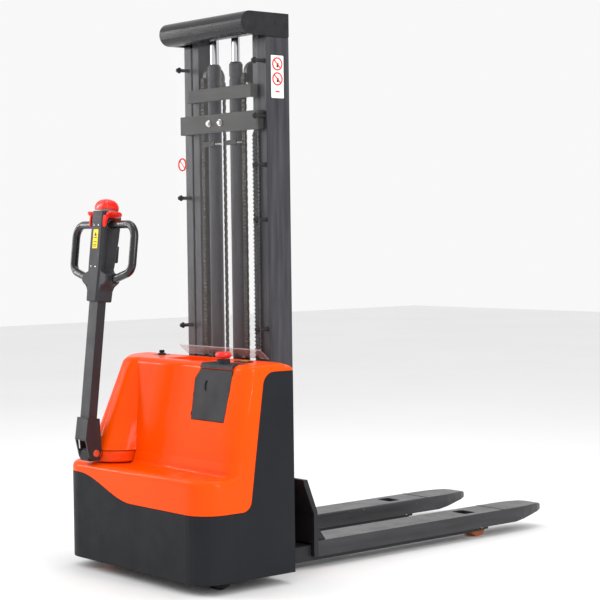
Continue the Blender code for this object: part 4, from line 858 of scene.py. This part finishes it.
def make_guard():
    """Clear sheet with a painted highlight along its fold and lip edge, a turned-out lower lip tinted with a
    painted reflection of the orange cover, and screw clips to the mast.
    """
    low, rear, front, side = GUARD_LOW_Z, GUARD_REAR_Y, GUARD_FRONT_Y, GUARD_HALF_W
    outline = rounded([(-side, low), (side, low), (side, GUARD_HIGH_Z), (-side, GUARD_HIGH_Z)],
                      [0.012] * 4, 6, closed=True)
    sheet = piece("guard_sheet", prism(outline, "Y", rear, front), CLEAR, "truck")
    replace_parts(sheet, "guard_panel")
    fold = [(rear - 0.0001, low), (front + 0.0001, low), (front + 0.0001, low + 0.0030),
            (rear - 0.0001, low + 0.0030)]
    lip = [(rear, low), (front, low), (0.0420, 0.7125), (0.0395, 0.7105)]
    lip_edge = [(0.0395, 0.7105), (0.0420, 0.7125), (0.0430, 0.7118), (0.0403, 0.7096)]
    # The fold and the lip's edge get the painted edge highlight; the lip gets the painted reflection of the
    # orange cover.
    for name, shape, material in (("fold", fold, GUARD_EDGE_HIGHLIGHT), ("lip", lip, GUARD_LIP_REFLECTION),
                                  ("lip_edge", lip_edge, GUARD_EDGE_HIGHLIGHT)):
        piece("guard_" + name, prism(shape, "X", -side + 0.0005, side - 0.0005), material, "truck")
    heights = {"left": (0.810, 1.250, 1.690), "right": (0.810, 1.170, 1.350, 1.510, 1.690)}
    for name, sign in SIDES:
        x = 0.0080 + sign * 0.2080
        for index, z in enumerate(heights[name]):
            knob = lathe([(0.0040, -0.0070), (0.0066, -0.0050), (0.0072, 0.0000), (0.0098, 0.0025),
                          (0.0105, 0.0045), (0.0105, 0.0058)], (x, 0.0, z), "Y", 20)
            piece(f"guard_clip_{name}_{index}", knob, BLACK, "truck")
            spacer = lathe([(0.0060, 0.0102), (0.0060, 0.0440), (0.0085, 0.0457)], (x, 0.0, z), "Y", 16)
            piece(f"guard_spacer_{name}_{index}", spacer, BLACK, "truck")


def make_guard_decal():
    """A plain red ring and bar on a white disc, stuck to the guard."""
    x, y, z = -0.190, 0.0050, 1.365
    radius = 0.0230
    disc = lathe([(radius, y), (radius, y + 0.0006)], (x, 0.0, z), "Y", 32)
    piece("guard_decal_disc", disc, WHITE, "truck")
    ring = [(x + c, y, z + s) for c, s in circle(0.88 * radius, 32)]
    rod("guard_decal_ring", ring, 0.0028, LABEL_RED, "truck", resolution=2)
    reach_out = 0.6 * radius
    bar = [(x - reach_out, y, z + reach_out), (x + reach_out, y, z - reach_out)]
    rod("guard_decal_bar", bar, 0.0016, LABEL_RED, "truck", resolution=2)


def make_mast_label():
    """White sticker on the right-hand channel: two figures, each in a red ring with a bar, and a red mark."""
    x, y = MAST_HALF_W, 0.0915
    half_w, low, high = 0.0265, 1.5690, 1.7090
    outline = rounded([(y - half_w, low), (y + half_w, low), (y + half_w, high), (y - half_w, high)],
                      [0.003] * 4, 3, closed=True)
    piece("mast_label", prism(outline, "X", x + 0.0002, x + 0.0008), WHITE, "truck")
    for index, z in enumerate((1.6810, 1.6320)):
        ring = [(x + 0.0010, y + c, z + s) for c, s in circle(0.0195, 32)]
        rod(f"mast_label_ring_{index}", ring, 0.0023, LABEL_RED, "truck", resolution=2)
        bar = [(x + 0.0010, y - 0.0130, z + 0.0130), (x + 0.0010, y + 0.0130, z - 0.0130)]
        rod(f"mast_label_bar_{index}", bar, 0.0019, LABEL_RED, "truck", resolution=2)
        figure = prism([(0.0880, z - 0.011), (0.0960, z - 0.011), (0.0975, z + 0.002), (0.0900, z + 0.004)],
                       "X", x + 0.0008, x + 0.0012)
        piece(f"mast_label_figure_{index}", figure, BLACK, "truck")
    mark = block((x + 0.0008, x + 0.0012), (0.0830, 0.1000), (1.5880, 1.5930))
    piece("mast_label_mark", mark, LABEL_RED, "truck")


def make_harness():
    """Cables in spiral wrap up the inside of the right-hand channel."""
    x, y = 0.1720, 0.0375
    core = [(x, y, 0.30 + 0.0232 * k) for k in range(51)]
    rod("harness_core", core, 0.0068, BLACK, "truck")
    turns, steps = 88, 10
    one_turn = circle(0.0082, steps)
    helix = []
    for k in range(turns * steps + 1):
        c, s = one_turn[k % steps]
        helix.append((x + c, y + s, 0.302 + 1.150 * k / (turns * steps)))
    rod("harness_wrap", helix, 0.0022, BLACK, "truck", resolution=1)


def make_tie_bolts():
    """Two bolts with washers on the rear face of the mast's cross tie."""
    z = 1.498
    for index, x in enumerate((-0.048, 0.014)):
        washer = lathe([(0.0110, 0.0145), (0.0110, 0.0130)], (x, 0.0, z), "Y", 24)
        piece(f"tie_washer_{index}", washer, ZINC, "truck")
        bolt = hexagon((x, 0.0130, z), 0.0160, -0.0070)
        piece(f"tie_bolt_{index}", bolt, ZINC, "truck", angle=20.0)


def make_mast_fittings():
    """On each side: cylinder clamps, the rod's wiper, a roller pin's end, and a black plate of painted shade
    in the gap under the head beam.
    """
    for name, sign in SIDES:
        x = sign * CYL_X
        for index, z in enumerate((0.560, 1.430)):
            band = [(x + c, CYL_Y + s, z) for c, s in circle(CYL_R + 0.0022, 28)]
            rod(f"cylinder_clamp_{name}_{index}", band, 0.0030, ZINC, "truck", resolution=3)
            ear = block((x - 0.0300, x + 0.0300), (0.0208, 0.0262), (z - 0.008, z + 0.008))
            piece(f"clamp_bridge_{name}_{index}", ear, DARK, "truck", edge=0.001)
        wiper = lathe([(0.0152, 1.6952), (0.0190, 1.6952), (0.0190, 1.6980), (0.0170, 1.6996),
                       (0.0152, 1.6996)], (x, CYL_Y, 0.0), "Z", 32)
        piece("rod_wiper_" + name, wiper, BLACK, "truck")
        cap = lathe([(0.0110, 0.0), (0.0110, sign * 0.0016), (0.0060, sign * 0.0022)],
                    (sign * 0.2130, 0.0945, 0.150), "X", 24)
        piece("roller_pin_end_" + name, cap, ZINC, "inner_mast")
        # The seat block is a black plate of painted shade. It fills the gap between the head beam's side
        # plate and the channel's top, where the gap falls dark.
        seat = block(sorted((sign * 0.1900, sign * 0.2255)), (0.0465, 0.1425), (1.7683, 1.7730))
        piece("head_gap_shade_" + name, seat, BLACK, NODE_BODY["mast_head_beam"])


def weld_bead(x, y, z, sway_y, sway_z, pace):
    """Points across a fork, wavering a little in Y or Z."""
    return [(x + FORK_HALF_W * (k / 20 - 1.0), y + sway_y * math.sin(pace * k),
             z + sway_z * math.sin(pace * k)) for k in range(41)]


def make_fork_details():
    """Weld beads where each fork's tip and heel are welded on, and ribs on the heel plate."""
    for name, sign in SIDES:
        x = sign * FORK_X
        for index, y in enumerate((1.1120, 1.1180)):
            bead = weld_bead(x, y, 0.0917, 0.0006, 0.0, 1.9)
            rod(f"fork_weld_{name}_{index}", bead, 0.0011, FORK, "carriage", resolution=2)
        bead = weld_bead(x, 0.2070, 0.0925, 0.0, 0.0004, 2.3)
        rod("heel_weld_" + name, bead, 0.0030, FORK, "carriage", resolution=2)
        gusset = prism([(0.2058, 0.0920), (0.2480, 0.0920), (0.2058, 0.1500)], "X",
                       sign * 0.2580 - 0.003, sign * 0.2580 + 0.003)
        piece("heel_gusset_" + name, gusset, DARK, "carriage", edge=0.001)


def make_wheel_details():
    """Retaining rings on the load wheels' axles, and bolts in the drive wheel."""
    for name, _ in SIDES:
        low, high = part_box("load_axle_" + name)
        middle = [(a + b) / 2.0 for a, b in zip(low, high)]
        for index, x in enumerate((low[0] - 0.0006, high[0] + 0.0006)):
            clip = lathe([(0.0064, -0.0006), (0.0064, 0.0006)], (x, middle[1], middle[2]), "X", 20)
            piece(f"axle_clip_{name}_{index}", clip, ZINC, "truck", Matrix.Identity(4))
    low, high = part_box("drive_wheel")
    middle = [(a + b) / 2.0 for a, b in zip(low, high)]
    for k, (c, s) in enumerate(circle(0.060, 5)[:-1]):
        bolt = hexagon((high[0] - 0.0100, middle[1] + c, middle[2] + s), 0.0130, 0.0055, "X")
        piece(f"drive_bolt_{k}", bolt, ZINC, "drive_wheel", Matrix.Identity(4), angle=20.0)


# ---------------------------------------------------------------- studio and camera
def make_studio():
    """A pale floor, a white surround, three softboxes and two narrow strips for crisp highlights."""
    bm = bmesh.new()
    bmesh.ops.create_grid(bm, x_segments=1, y_segments=1, size=14.0)
    floor = link_mesh("studio_floor", bm)
    floor.data.materials.append(painted("studio_floor_paint", (0.86, 0.86, 0.86), (0.83, 0.83, 0.83), 0.7,
                                        cloud=0.6, relief=0.0))
    world = bpy.data.worlds.new("studio_world")
    bpy.context.scene.world = world
    world.use_nodes = True
    background = world.node_tree.nodes["Background"]
    background.inputs["Color"].default_value = (1.0, 1.0, 1.0, 1.0)
    background.inputs["Strength"].default_value = 0.94
    bpy.context.scene.view_settings.view_transform = "Standard"
    for name, place, target, size, power in (
            ("key", (-2.4, -3.4, 3.2), (0.0, -0.3, 0.7), (1.2, 2.6), 46.0),
            ("fill", (3.8, -0.6, 2.6), (0.0, 0.0, 0.9), (0.8, 3.0), 50.0),
            ("top", (0.2, 0.3, 4.2), (0.0, 0.0, 0.5), (2.0, 2.6), 50.0),
            ("left_strip", (-3.4, -2.6, 1.8), (0.0, -0.3, 0.8), (0.25, 2.6), 34.0),
            ("right_strip", (4.2, -0.2, 1.8), (0.0, 0.0, 0.8), (0.25, 2.6), 26.0)):
        light = bpy.data.lights.new(name + "_softbox", "AREA")
        light.shape = "RECTANGLE"
        light.size, light.size_y = size
        light.energy = power
        lamp = bpy.data.objects.new(name + "_softbox", light)
        bpy.context.scene.collection.objects.link(lamp)
        lamp.location = place
        lamp.rotation_euler = (Vector(target) - Vector(place)).to_track_quat("-Z", "Y").to_euler()


def make_camera():
    """Low, from the operator's right, with a long lens."""
    azimuth, pitch, roll = math.radians(49.847), math.radians(2.266), math.radians(-0.726)
    forward = Vector((-math.sin(azimuth) * math.cos(pitch), math.cos(azimuth) * math.cos(pitch),
                      -math.sin(pitch)))
    right = Vector((math.cos(azimuth), math.sin(azimuth), 0.0))
    upward = right.cross(forward)
    level = math.cos(roll) * right + math.sin(roll) * upward
    plumb = -math.sin(roll) * right + math.cos(roll) * upward
    data = bpy.data.cameras.new("studio_camera")
    data.lens = 100.45
    data.sensor_width = 36.0
    camera = bpy.data.objects.new("studio_camera", data)
    bpy.context.scene.collection.objects.link(camera)
    pose = Matrix((level, plumb, -forward)).transposed().to_4x4()
    pose.translation = at(4.49926, -3.42733, 1.12181)
    camera.matrix_world = pose
    bpy.context.scene.camera = camera


repaint()
make_cover()
make_cover_fittings()
make_tiller_head()
make_head_fittings()
make_head_label()
make_handles()
make_belly_switch()
make_thumb_paddles()
make_rocker_ribs()
make_boot_fittings()
make_chains()
make_guard()
make_guard_decal()
make_mast_label()
make_harness()
make_tie_bolts()
make_mast_fittings()
make_fork_details()
make_wheel_details()
make_studio()
make_camera()
